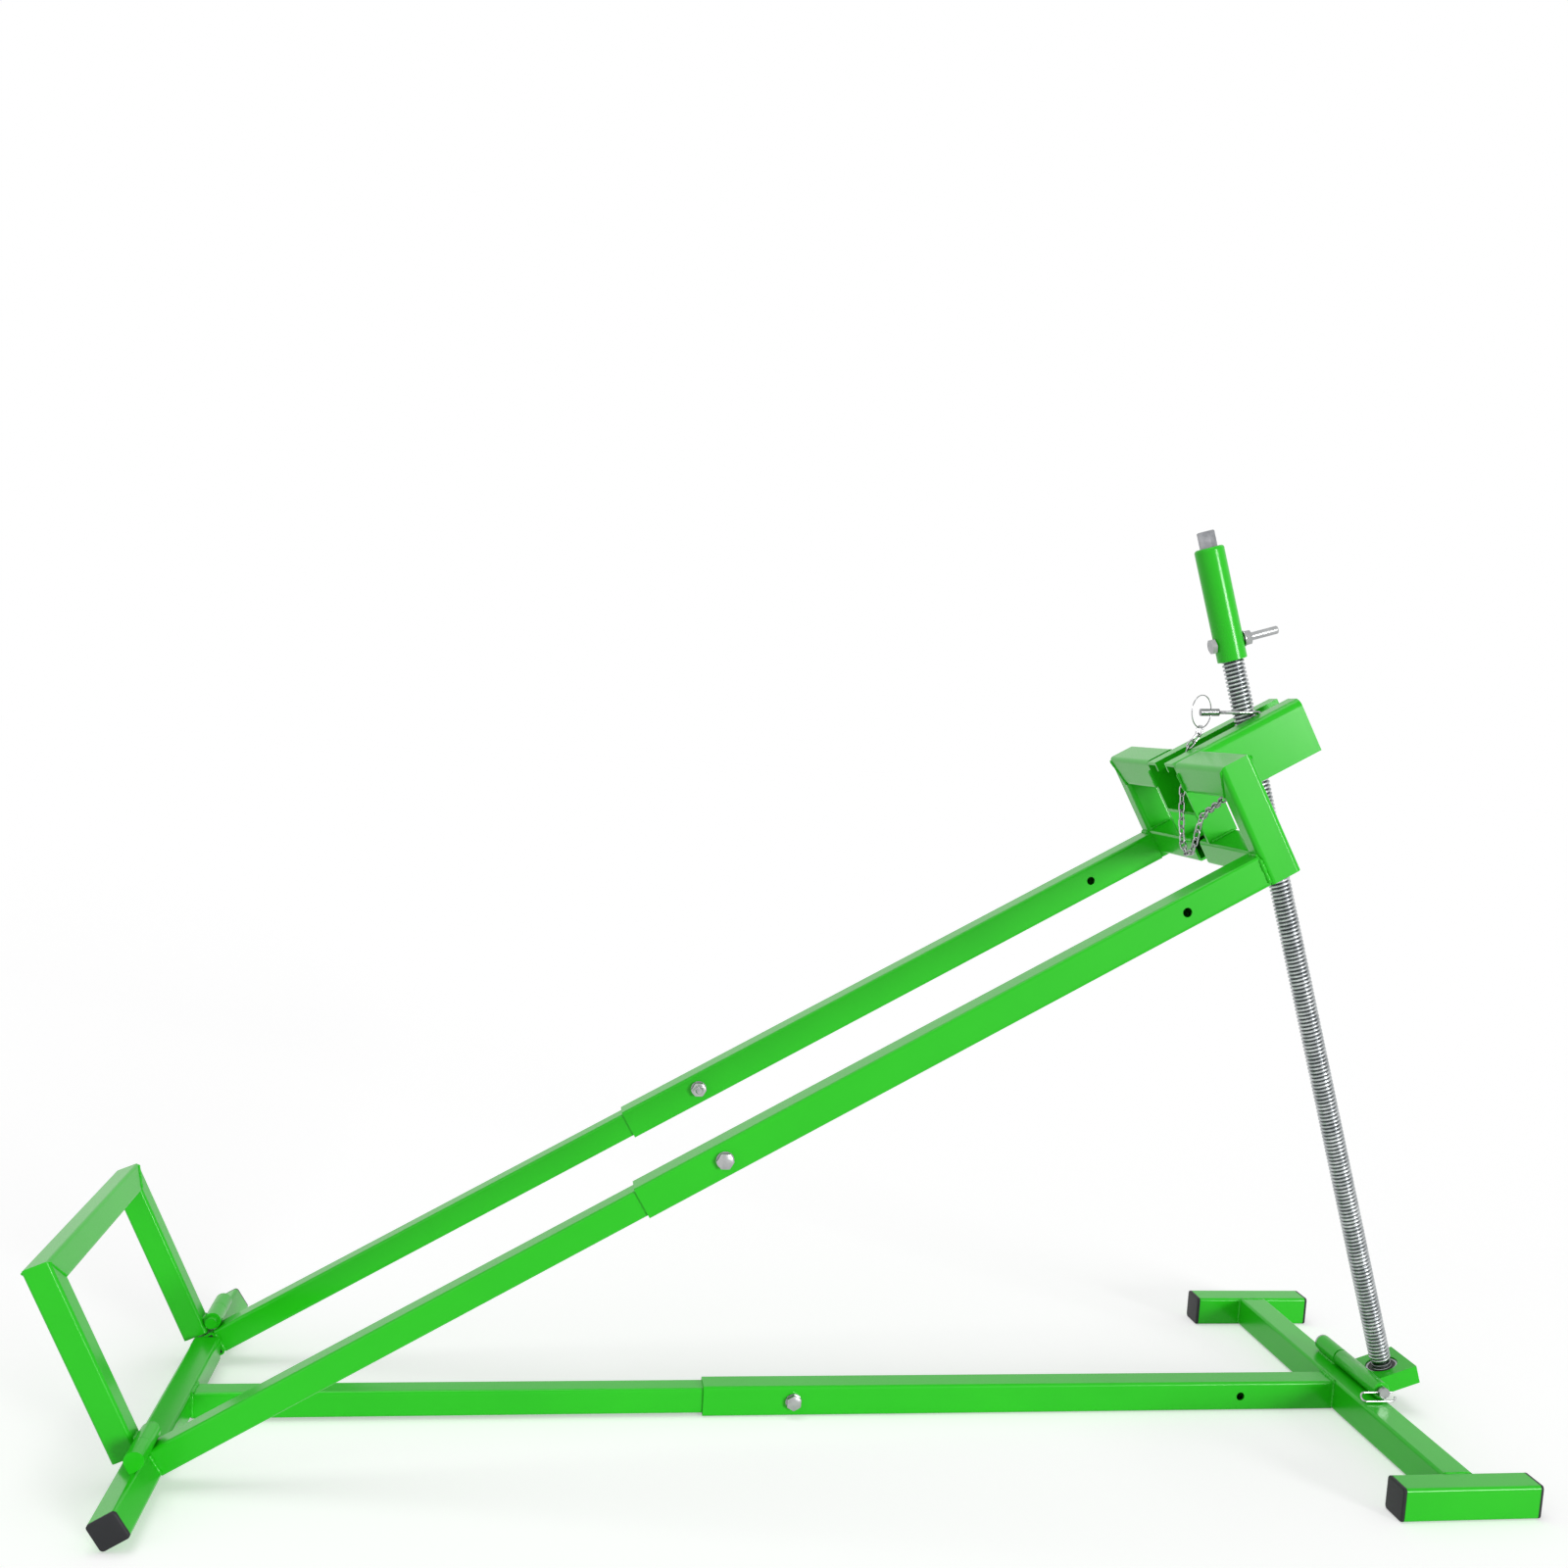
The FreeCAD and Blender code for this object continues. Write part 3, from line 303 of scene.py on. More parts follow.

# %% [markdown]
# ## Steel in four finishes
#
# The spindle is galvanised and dull, the bolts are zinc plated, the pin, ring and chain are
# bright, and the bearing is ground. All four are fully metallic. What tells them apart is
# roughness, the size of the patches, and a painted dark reflection: the colour goes darker where
# the metal turns away, as the dark corners of a real studio would show in it.

# %% Steels
METAL = {"Metallic": 1.0}
# The last number of each steel is how much painted dark reflection darkens it where it turns away
galvanised = finish(
    "galvanised_spindle", light=(222, 225, 225), dark=(140, 145, 148),
    patch_scale=60.0, contrast=1.8, grain_scale=900.0, rough=(0.22, 0.40), bump=(0.25, 0.0004),
    plain=METAL, dark_reflection=0.45,
)
zinc = finish(
    "zinc_plate", light=(232, 233, 231), dark=(104, 108, 112),
    patch_scale=45.0, contrast=0.8, grain_scale=1400.0, rough=(0.16, 0.30), bump=(0.08, 0.0002),
    plain=METAL, dark_reflection=0.8,
)
chrome = finish(
    "bright_chrome", light=(250, 251, 252), dark=(44, 46, 50),
    patch_scale=70.0, contrast=0.8, grain_scale=1500.0, rough=(0.06, 0.12), bump=(0.02, 0.0001),
    plain=METAL, dark_reflection=0.9,
)
ground_steel = finish(
    "ground_bearing_steel", light=(196, 197, 200), dark=(104, 107, 112),
    patch_scale=80.0, contrast=1.2, grain_scale=2200.0, rough=(0.16, 0.28), bump=(0.06, 0.0001),
    plain=METAL, dark_reflection=0.6,
)
print([material.name for material in (galvanised, zinc, chrome, ground_steel)])

# %% [markdown]
# ## Painted shade between the crests
#
# The roots of the thread lie in shade and the crests stay bright, so the shade in the roots is
# painted into the colour. The shader measures how far a point is from the spindle's axis, and
# mixes a darker steel into the roots.

# %% Steel of the thread
# The colour of the painted shade in the thread's roots, and the radii where it is full and where it
# ends
ROOT_SHADE_STEEL = (66, 69, 72)
FULL_SHADE_REACH = 0.0112
NO_SHADE_REACH = 0.0131


def paint_root_shade(material):
    """Paints shade on a steel from the crest's radius down to the root's, both from the spindle's
    axis.
    """
    tree = material.node_tree
    colour = tree.nodes["Principled BSDF"].inputs["Base Color"]
    unshaded = colour.links[0].from_socket
    place = tree.nodes.new("ShaderNodeTexCoord").outputs["Object"]
    turned = tree.nodes.new("ShaderNodeMapping")
    turned.vector_type = "TEXTURE"
    axis_frame = FOOT.normalized()
    turned.inputs["Location"].default_value = axis_frame.translation
    turned.inputs["Rotation"].default_value = axis_frame.to_euler("XYZ")
    feed(tree, turned.inputs["Vector"], place)
    flat = tree.nodes.new("ShaderNodeVectorMath")
    flat.operation = "MULTIPLY"
    feed(tree, flat.inputs[0], turned.outputs["Vector"])
    flat.inputs[1].default_value = (1, 1, 0)
    reach = tree.nodes.new("ShaderNodeVectorMath")
    reach.operation = "LENGTH"
    feed(tree, reach.inputs[0], flat.outputs["Vector"])
    share = map_range(tree, reach.outputs["Value"], (FULL_SHADE_REACH, NO_SHADE_REACH), (0.0, 1.0))
    feed(tree, colour, blend(tree, share, linear(ROOT_SHADE_STEEL), unshaded))


# Painted shade in the roots of the spindle's thread
paint_root_shade(galvanised)

# %% [markdown]
# ## Black plastic and black rubber
#
# End caps are moulded with a fine leather-like grain, and the bearing's seal is smoother and
# darker. Both are dark but never fully black, because real plastic always shows a little grey
# sheen.

# %% Plastic and rubber
black_plastic = finish(
    "black_moulded_plastic", light=(42, 43, 46), dark=(29, 30, 32),
    patch_scale=30.0, contrast=1.2, grain_scale=1500.0, rough=(0.42, 0.58), bump=(0.25, 0.0003),
    plain={"Metallic": 0.0, "IOR": 1.47, "Specular IOR Level": 0.3},
)
seal_rubber = finish(
    "black_seal_rubber", light=(32, 29, 30), dark=(18, 16, 17),
    patch_scale=90.0, contrast=1.4, grain_scale=1200.0, rough=(0.38, 0.52), bump=(0.12, 0.0002),
    plain={"Metallic": 0.0, "IOR": 1.5, "Specular IOR Level": 0.3},
)

# %% [markdown]
# ## Dressing the CAD nodes
#
# The record says which slot each CAD node belongs to. One table from slot to finish dresses all of
# them, and a node that a finer piece replaces later loses nothing by it.

# %% Dress the nodes
FINISHES = {
    "green_paint": green_coat,
    "galvanised_steel": galvanised,
    "zinc_plate": zinc,
    "bright_chrome": chrome,
    "bearing_steel": ground_steel,
    "black_plastic": black_plastic,
    "black_seal": seal_rubber,
}
slot_of = {entry["node"]: entry["material_slot"] for entry in frame["record"]["subparts"]}
for name, node in nodes.items():
    node.data.materials.clear()
    node.data.materials.append(FINISHES[slot_of[name]])
print("dressed", len(slot_of), "nodes")

# %% [markdown]
# ## From points to pieces
#
# Each new piece is a mesh that is made point by point, moved into the scene's frame, given a
# finish and hung on the part of the lift that carries it. One helper does that for all of them.

# %% Helper: make a piece
def piece(name, verts, faces, place, body, slot, smooth=40, stands_for=()):
    """A mesh from drawing points; it rides on a body and may stand for CAD nodes."""
    mesh = bpy.data.meshes.new(name)
    mesh.from_pydata([place @ Vector(vert) for vert in verts], [], faces)
    mesh.validate()
    helper = bmesh.new()
    helper.from_mesh(mesh)
    bmesh.ops.recalc_face_normals(helper, faces=helper.faces)
    helper.to_mesh(mesh)
    helper.free()
    mesh.materials.append(FINISHES[slot])
    item = bpy.data.objects.new(name, mesh)
    bpy.context.scene.collection.objects.link(item)
    mesh.shade_smooth()
    mesh.set_sharp_from_angle(angle=math.radians(smooth))
    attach(item, body)
    if stands_for:
        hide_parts(*stands_for)
    print(name, len(mesh.polygons), "faces")
    return item


def merge(parts):
    """Several shapes, each a list of points and a list of faces, as one."""
    verts, faces = [], []
    for part_verts, part_faces in parts:
        shift = len(verts)
        verts.extend(part_verts)
        faces.extend([tuple(index + shift for index in face) for face in part_faces])
    return verts, faces


def moved(part, matrix):
    """A shape at another place."""
    return [matrix @ Vector(vert) for vert in part[0]], part[1]


def polar(radius, turn, height):
    """A point from its distance and direction from Z."""
    return radius * math.cos(turn), radius * math.sin(turn), height


# %% [markdown]
# ## Skins over rows of points
#
# Every shape below is rows of points with a skin of four-cornered faces over them. A turned shape
# joins its last column to its first. A cord or a cap is a run of rings, closed at both ends.

# %% Helpers: skins
def turned_skin(columns, count, closed):
    """Faces between the columns of a turned shape, all the way round."""
    faces = []
    for column in range(columns):
        here, there = column * count, (column + 1) % columns * count
        for number in range(count if closed else count - 1):
            after = (number + 1) % count
            faces.append((here + number, there + number, there + after, here + after))
    return faces


def run_skin(rings, sides):
    """Faces along a run of rings, and one at each end."""
    faces = []
    for ring in range(rings - 1):
        here, there = ring * sides, (ring + 1) * sides
        for number in range(sides):
            after = (number + 1) % sides
            faces.append((here + number, here + after, there + after, there + number))
    faces.append(tuple(range(sides - 1, -1, -1)))
    faces.append(tuple(range((rings - 1) * sides, rings * sides)))
    return faces


# %% [markdown]
# ## Turned parts
#
# Rings, washers, seals and plain shafts are turned on a lathe, so they are made the same way: a
# profile of radius and height is swept round. The profile carries the small chamfers that catch
# the light.

# %% Helper: lathe
def lathe(profile, steps=64, closed=False):
    """Sweeps (radius, height) points round Z; a closed profile is a ring, an open one a shaft."""
    verts = [
        polar(radius, 2 * math.pi * step / steps, height)
        for step in range(steps) for radius, height in profile
    ]
    return verts, turned_skin(steps, len(profile), closed)


# %% [markdown]
# ## A real thread
#
# The spindle's thread is the one detail that the eye goes to. A bump map would vanish on the
# silhouette, where the photograph shows every crest. So the thread is real geometry: a profile
# with flat crests, sloping flanks and a narrow flat root is swept along a right-hand helix, and
# each turn shares its edge with the next.

# %% Helper: thread
# Share of the pitch, and share of the height from root to crest
THREAD_FORM = (
    (0.0, 0.0), (0.10, 0.12), (0.26, 0.88), (0.34, 1.0),
    (0.62, 1.0), (0.70, 0.88), (0.86, 0.12), (0.96, 0.0),
)


def thread(crest, root, pitch, bottom, top, steps=40):
    """A right-hand thread from bottom to top round Z, which fades into the root at both ends."""
    total = (int((top - bottom) / pitch) - 1) * steps
    width = len(THREAD_FORM)
    verts = []
    for step in range(total + steps + 1):
        fade = min(1.0, step / steps, (total + steps - step) / steps)
        for along, rise in THREAD_FORM:
            radius = root + (crest - root) * rise * fade
            height = bottom + pitch * (step / steps + along)
            verts.append(polar(radius, 2 * math.pi * step / steps, height))
    faces = []
    for step in range(total):
        here, there = step * width, (step + 1) * width
        for number in range(width - 1):
            faces.append((here + number, there + number, there + number + 1, here + number + 1))
        turn_on = steps * width
        faces.append((here + width - 1, there + width - 1, there + turn_on, here + turn_on))
    return verts, faces


# %% The spindle
CREST = 14
ROOT = 11.3
SUNK_ROOT = 11.25
PITCH = 5
JOURNAL = 10
COLLAR = 12.5
core = lathe([
    (0, -32), (8.6, -32), (JOURNAL, -30.6), (JOURNAL, -15.1), (9.2, -15.1), (9.2, -13.5),
    (JOURNAL, -13.5), (JOURNAL, -1.5), (12.1, -1.5), (COLLAR, -1.1), (COLLAR, 2.6), (12.1, 3),
    (ROOT, 3), (ROOT, SPINDLE_TOP - 1.2), (10.2, SPINDLE_TOP), (0, SPINDLE_TOP),
])
crests = thread(CREST, SUNK_ROOT, PITCH, 3.2, SPINDLE_TOP - 1.5)
piece(
    "threaded_spindle", *merge([core, crests]), FOOT, "spindle", "galvanised_steel",
    stands_for=["spindle"],
)

# %% [markdown]
# ## Bolts, nuts and washers
#
# A real bolt head isn't a plain hexagonal block. Its corners are cut by a cone, which leaves a
# round face and the curved edges that everyone knows. The head is made as a ring of points whose
# height drops where the hexagon reaches beyond the cone. Nuts are cut so on both faces, and the
# free ends of the short bolts carry a real thread.

# %% Helpers: hexagon, nut, washer
BOLT_RADIUS = 5.0
BOLT_FLATS = 17
HEAD_HEIGHT = 6.4
NUT_HEIGHT = 8
WASHER_RADIUS = 10
WASHER_THICK = 2
CONE_SHARE = 0.475
CONE_SLOPE = math.tan(math.radians(28))


def hexagon_reach(turn, flats):
    """Distance from the middle of a hexagon to its edge in a direction."""
    part = (turn + math.pi / 6) % (math.pi / 3) - math.pi / 6
    return flats / 2 / math.cos(part)


def hex_solid(flats, height, bore=0.0, both=False, steps=72):
    """A hexagonal head from z = 0 to its height, with coned corners above, or on both faces."""
    cone = flats * CONE_SHARE
    verts = []
    for step in range(steps):
        turn = 2 * math.pi * step / steps
        reach = hexagon_reach(turn, flats)
        drop = (reach - cone) * CONE_SLOPE
        column = [(bore, 0.0)]
        column += [(cone, 0.0), (reach, drop)] if both else [(reach, 0.0)]
        column += [(reach, height - drop), (cone, height), (bore, height)]
        verts.extend(polar(radius, turn, z) for radius, z in column)
    return verts, turned_skin(steps, len(column), bool(bore))


def hex_nut():
    """A nut that fits the bolts."""
    return hex_solid(BOLT_FLATS, NUT_HEIGHT, BOLT_RADIUS, both=True)


def washer():
    """A washer that fits the bolts, with softened edges."""
    soft = 0.3
    return lathe([
        (BOLT_RADIUS, 0), (WASHER_RADIUS - soft, 0), (WASHER_RADIUS, soft),
        (WASHER_RADIUS, WASHER_THICK - soft), (WASHER_RADIUS - soft, WASHER_THICK),
        (BOLT_RADIUS, WASHER_THICK),
    ], closed=True)


def threaded_bolt(length, tail):
    """A bolt along -Z with its head from z = 0 up; the tail of its shank is threaded."""
    plain = length - tail
    core = BOLT_RADIUS - 0.7
    crest = BOLT_RADIUS - 0.02
    shank = lathe([
        (0, -length), (core - 0.5, -length), (core, -length + 0.8), (core, -plain),
        (crest, -plain + 0.4), (crest, 0), (0, 0),
    ], steps=32)
    turns = thread(crest, core - 0.05, 1.5, -length + 0.4, -plain + 1.2, 24)
    return merge([hex_solid(BOLT_FLATS, HEAD_HEIGHT), shank, turns])


def plain_bolt(length):
    """A bolt along -Z with a smooth shank and a rounded end."""
    shank = lathe([
        (0, -length), (BOLT_RADIUS - 1.3, -length), (BOLT_RADIUS - 0.4, -length + 0.5),
        (BOLT_RADIUS, -length + 1.5), (BOLT_RADIUS, 0), (0, 0),
    ], steps=40)
    return merge([hex_solid(BOLT_FLATS, HEAD_HEIGHT), shank])


# %% [markdown]
# ## Where the bolts go
#
# One bolt locks the base beam, and one locks each rail. The heads face outwards on the rails, and
# the beam's bolt has its head on the near side. The sleeve's bolt is far longer than it needs to
# be, and sticks out behind its nut.

# %% Bolts of the base beam and the rails
BOLT_LENGTH = 56
BOLT_TAIL = 22
BEAM_BOLT = [(-740, 0, OUTER_HALF, -1)]
RAIL_BOLTS = [(696, RAIL * side, 0, side) for side in (-1, 1)]


def along_y(x, y, z, sign):
    """A matrix that sets a part made along +Z so that it points to +Y or -Y at a place."""
    return Matrix.Translation((x, y, z)) @ Matrix.Rotation(math.radians(-90 * sign), 4, "X")


def clamps(places):
    """The bolts, nuts and washers through tubes; each place ends with the head's side."""
    seat = OUTER_HALF + WASHER_THICK
    bolts, nuts, washers = [], [], []
    for x, y, z, out in places:
        bolt = threaded_bolt(BOLT_LENGTH, BOLT_TAIL)
        bolts.append(moved(bolt, along_y(x, y + seat * out, z, out)))
        nuts.append(moved(hex_nut(), along_y(x, y - seat * out, z, -out)))
        for face in (-out, out):
            washers.append(moved(washer(), along_y(x, y + OUTER_HALF * face, z, face)))
    return bolts, nuts, washers


for places, place, body, names in (
    (BEAM_BOLT, BASE, "base", ("beam_bolt", "beam_nut", "beam_washers")),
    (RAIL_BOLTS, ARM, "arm", ("rail_bolts", "rail_nuts", "rail_washers")),
):
    for name, shapes in zip(names, clamps(places)):
        piece(f"{name}_cut", *merge(shapes), place, body, "zinc_plate", stands_for=[name])

# %% The sleeve's bolt, its nut and washer, and the hexagon
SLEEVE = 18.5
BORE = 14.4
BOLT_LEVEL = SLEEVE_START + 22
LONG_BOLT = 84
PLUG_DEPTH = 45
PLUG_EDGE = 0.8
DRIVE_FLATS = 19
DRIVE_HEIGHT = 20


def along_x(x, z, sign):
    """A matrix that sets a part made along +Z so that it points to +X or -X at a place."""
    return Matrix.Translation((x, 0, z)) @ Matrix.Rotation(math.radians(90 * sign), 4, "Y")


for name, shape, x, sign in (
    ("sleeve_bolt", plain_bolt(LONG_BOLT), -SLEEVE, -1),
    ("sleeve_nut", hex_nut(), SLEEVE + WASHER_THICK, 1),
    ("sleeve_washer", washer(), SLEEVE, 1),
):
    part = moved(shape, along_x(x, BOLT_LEVEL, sign))
    piece(f"{name}_cut", *part, FOOT, "spindle", "zinc_plate", stands_for=[name])
plug = lathe([
    (0, SLEEVE_TOP - PLUG_DEPTH), (BORE - PLUG_EDGE, SLEEVE_TOP - PLUG_DEPTH),
    (BORE, SLEEVE_TOP - PLUG_DEPTH + PLUG_EDGE), (BORE, SLEEVE_TOP - PLUG_EDGE),
    (BORE - PLUG_EDGE, SLEEVE_TOP), (0, SLEEVE_TOP),
])
drive = moved(hex_solid(DRIVE_FLATS, DRIVE_HEIGHT), Matrix.Translation((0, 0, SLEEVE_TOP)))
piece(
    "drive_hexagon_cut", *merge([plug, drive]), FOOT, "spindle", "bearing_steel",
    stands_for=["drive_hexagon"],
)

# %% The sleeve with its soft shoulder
ROUND = 4.0
MOUTH_EDGE = 0.5
shoulder = [
    (SLEEVE - ROUND * (1 - math.sin(turn)), SLEEVE_TOP - ROUND * (1 - math.cos(turn)))
    for turn in (math.radians(15 * step) for step in range(6, -1, -1))
]
mouth = [
    (BORE, SLEEVE_START), (SLEEVE - MOUTH_EDGE, SLEEVE_START), (SLEEVE, SLEEVE_START + MOUTH_EDGE),
]
tube = lathe(mouth + shoulder + [(BORE, SLEEVE_TOP)], closed=True)
piece("sleeve_tube", *tube, FOOT, "spindle", "green_paint", stands_for=["drive_sleeve"])

# %% The barrel of the foot's hinge, with the groove that shows where it ends
PIN_BORE = 7.05
BARREL = 11
BARREL_ENDS = (-84, 32)
near, far = BARREL_ENDS
barrel = lathe([
    (PIN_BORE, near), (BARREL - 1.2, near), (BARREL, near + 1.2),
    (BARREL, far - 2.4), (BARREL - 1.8, far), (PIN_BORE, far),
], closed=True)
piece(
    "hinge_barrel", *moved(barrel, along_y(0, 0, 0, 1)), HINGE, "spindle_foot", "green_paint",
    stands_for=["foot_barrel_moving"],
)

# %% [markdown]
# ## The bearing
#
# Seen from above, the bearing is three rings: the outer race, a black seal with a shallow groove,
# and the inner race round the spindle. Each one is turned with its real chamfers, because the thin
# bright lines of those chamfers are what makes it read as a bearing.

# %% Bearing rings and seal
BEARING_LOW = -13.5
BEARING_HIGH = -1.5


def race(inner, outer, chamfer):
    """A bearing ring with chamfers on all four edges."""
    low, high = BEARING_LOW, BEARING_HIGH
    return lathe([
        (inner, low + chamfer), (inner + chamfer, low), (outer - chamfer, low),
        (outer, low + chamfer), (outer, high - chamfer), (outer - chamfer, high),
        (inner + chamfer, high), (inner, high - chamfer),
    ], steps=96, closed=True)


piece(
    "outer_race", *race(17.6, 21, 0.6), FOOT, "spindle_foot", "bearing_steel",
    stands_for=["bearing_outer_ring"],
)
piece(
    "inner_race", *race(JOURNAL, 13.2, 0.5), FOOT, "spindle", "bearing_steel",
    stands_for=["bearing_inner_ring"],
)
seal = lathe([
    (13.35, -2.3), (17.45, -2.3), (17.45, -1.7), (17.1, -1.55), (16.4, -1.6), (16.0, -1.95),
    (15.4, -2.0), (15.0, -1.75), (14.0, -1.7), (13.6, -1.9), (13.35, -1.95),
], steps=96, closed=True)
piece("seal_ring", *seal, FOOT, "spindle_foot", "black_seal", stands_for=["bearing_seal"])

# %% [markdown]
# ## End caps
#
# The feet and the stub tubes end in black plastic plugs. Their outer face is slightly crowned and
# its edges are soft. A box with rounded sides would do from afar, but the caps sit in front, so
# each one is built from rounded squares that step back and shrink towards the crown.

# %% Helper: rounded plug
CAP_CORNER = 4
CAP_THICK = 4
PLUG_CORNER = 2.0
PLUG_REACH = 12


def rounded_square(half, corner, steps=6):
    """Points round a square with rounded corners."""
    points = []
    for quarter in range(4):
        middle = half - corner
        turn = math.pi / 2 * quarter
        at = Matrix.Rotation(turn, 2) @ Vector((middle, middle))
        for step in range(steps + 1):
            angle = turn + math.pi / 2 * step / steps
            points.append((at.x + corner * math.cos(angle), at.y + corner * math.sin(angle)))
    return points


def plug_cap(half, plug_half):
    """A cap along +Z: a plug below z = 0 and a crowned face above."""
    layers = [
        (plug_half, PLUG_CORNER, -PLUG_REACH), (plug_half, PLUG_CORNER, 0),
        (half - 0.4, CAP_CORNER, 0), (half, CAP_CORNER, 0.4),
        (half, CAP_CORNER, CAP_THICK - 1.3), (half - 0.35, CAP_CORNER, CAP_THICK - 0.6),
        (half - 1.1, CAP_CORNER, CAP_THICK - 0.2), (half - 3, CAP_CORNER, CAP_THICK),
    ]
    verts = [
        (x, y, height)
        for reach, corner, height in layers for x, y in rounded_square(reach, corner)
    ]
    return verts, run_skin(len(layers), len(verts) // len(layers))


# %% The caps in their places
FOOT_HALF = 20
FOOT_PLUG = 16.8
FOOT_END = 83.5
FOOT_MIDDLE = 317
STUB_PLUG = 13.3
STUB_END = 326
feet = []
for side in (-1, 1):
    for face in (-1, 1):
        turn = Matrix.Rotation(math.radians(90 * face), 4, "Y")
        at = Matrix.Translation((FOOT_END * face, FOOT_MIDDLE * side, FOOT_HALF))
        feet.append(moved(plug_cap(FOOT_HALF, FOOT_PLUG), at @ turn))
piece("foot_end_caps", *merge(feet), BASE, "base", "black_plastic", stands_for=["foot_caps"])
stubs = [
    moved(plug_cap(REAR_HALF, STUB_PLUG), along_y(0, STUB_END * side, 0, side))
    for side in (-1, 1)
]
piece("stub_end_caps", *merge(stubs), ARM, "arm", "black_plastic", stands_for=["stub_caps"])

# %% [markdown]
# ## Weld beads
#
# A welded frame without weld beads looks like a toy. A bead is a small raised cord with
# overlapping ripples, laid in the corner of two tubes and painted over. Each bead follows a few
# corner points. Its section is a circle that swells and shrinks every few millimetres, and most of
# it is sunk into the tubes. The points lie a little off the tubes' faces, so that enough of each
# bead shows.

# %% Helper: weld bead
RIPPLE = 3.2
STRIDE = 0.8
FADE = 2.5


def bead(points, radius=2.6, sides=10):
    """A rippled cord along straight runs between the points."""
    points = [Vector(point) for point in points]
    samples = []
    travelled = 0.0
    for first, last in zip(points, points[1:]):
        run = last - first
        steps = max(2, round(run.length / STRIDE))
        for step in range(steps + (last is points[-1])):
            part = step / steps
            samples.append((first + run * part, run.normalized(), travelled + run.length * part))
        travelled += run.length
    verts = []
    for spot, direction, distance in samples:
        phase = (distance % RIPPLE) / RIPPLE
        wander = 0.12 * math.sin(distance * 0.37) + 0.08 * math.sin(distance * 1.13)
        nearest_end = min(1.0, distance / FADE, (travelled - distance) / FADE)
        end_fade = math.sqrt(max(0.04, nearest_end))
        size = radius * (0.86 + 0.2 * math.sqrt(phase) + wander) * end_fade
        across = direction.orthogonal().normalized()
        other = direction.cross(across)
        for number in range(sides):
            turn = 2 * math.pi * number / sides
            verts.append(spot + (across * math.cos(turn) + other * math.sin(turn)) * size)
    return verts, run_skin(len(samples), sides)


def frame_round(x, half, low, high):
    """The three visible sides of a tube's end, up one side, across the top and down the other."""
    return [(x, -half, low), (x, -half, high), (x, half, high), (x, half, low)]


# %% Welds of the base: the beam's two ends, the hinge's barrel and the feet
base_beads = [
    bead(frame_round(-20.6, 19.4, 3, 38.2)),
    bead(frame_round(-1446.6, 16.3, 5, 35.2), 2.2),
    bead([(6.2, 35, 40.3), (6.2, 84, 40.3)]),
    bead([(19.2, 35, 40.0), (19.2, 84, 40.0)]),
]
FOOT_SEAM = 296.8
for side in (-1, 1):
    seam = FOOT_SEAM * side
    base_beads += [
        bead([(20.4, seam, 3), (20.4, seam, 38)], 2.4),
        bead([(-20.4, seam, 3), (-20.4, seam, 38)], 2.4),
        bead([(-17, seam, 39.1), (17, seam, 39.1)], 2.0),
    ]
piece("base_welds", *merge(base_beads), BASE, "base", "green_paint")

# %% Welds of the arm: the rails on the stubs, the portal, the channel and the stop's barrels
BACK = PORTAL - 0.6
FRONT = PORTAL + 40.5
PLATE_BACK = PORTAL + 3
PLATE_FRONT = PORTAL + 37
CHANNEL_LOW = PORTAL_TOP - 70
CORNER_LOW = PORTAL_TOP - 39
STUB_FACE = REAR_HALF + 0.5
arm_beads = []
for side in (-1, 1):
    rail = RAIL * side
    face = 50.7 * side
    inner = 167.9 * side
    low_corner = (170 * side, CORNER_LOW)
    high_corner = (196 * side, PORTAL_TOP - 3)
    arm_beads += [
        bead([(STUB_FACE, rail - 16.4, -13), (STUB_FACE, rail - 16.4, 13)], 2.2),
        bead([(STUB_FACE, rail + 16.4, -13), (STUB_FACE, rail + 16.4, 13)], 2.2),
        bead([(BACK, 198.3 * side, -16), (BACK, 198.3 * side, 16)], 2.4),
        bead([(BACK, 171 * side, 19.4), (BACK, 195 * side, 19.4)], 2.4),
        bead([(BACK + 0.2, *low_corner), (BACK + 0.2, *high_corner)], 1.5),
        bead([(FRONT - 0.2, *low_corner), (FRONT - 0.2, *high_corner)], 1.5),
        bead([(FRONT, face, CORNER_LOW + 3), (FRONT, face, PORTAL_TOP - 8)], 2.4),
        bead([(BACK, face, CORNER_LOW + 3), (BACK, face, PORTAL_TOP - 12)], 2.2),
        bead([(PLATE_BACK, face, CHANNEL_LOW - 0.3), (PLATE_FRONT, face, CHANNEL_LOW - 0.3)], 2.2),
        bead([(PLATE_BACK, face, 22.6), (PLATE_FRONT, face, 22.6)], 2.2),
        bead([(BACK, inner, -8), (BACK, inner, 20)], 2.2),
        bead([(FRONT, inner, -8), (FRONT, inner, 20)], 2.2),
        bead([(PLATE_BACK, inner, 22.4), (PLATE_FRONT, inner, 22.4)], 2.0),
        bead([(9.2, 209 * side, 16.2), (9.2, 240 * side, 16.2)], 2.2),
    ]
piece("arm_welds", *merge(arm_beads), ARM, "arm", "green_paint")

# %% Welds of the wheel stop: its barrels and its two mitred corners
stop_beads = []
for side in (-1, 1):
    inner, outer = 166 * side, 192 * side
    stop_beads += [
        bead([(-10.4, 170 * side, 5.5), (-10.4, outer, 5.5)], 2.2),
        bead([(-10.4, inner, 191), (-10.4, outer, 217)], 1.4),
        bead([(-40.6, inner, 191), (-40.6, outer, 217)], 1.4),
    ]
piece("stop_welds", *merge(stop_beads), STOP, "wheel_stop", "green_paint")

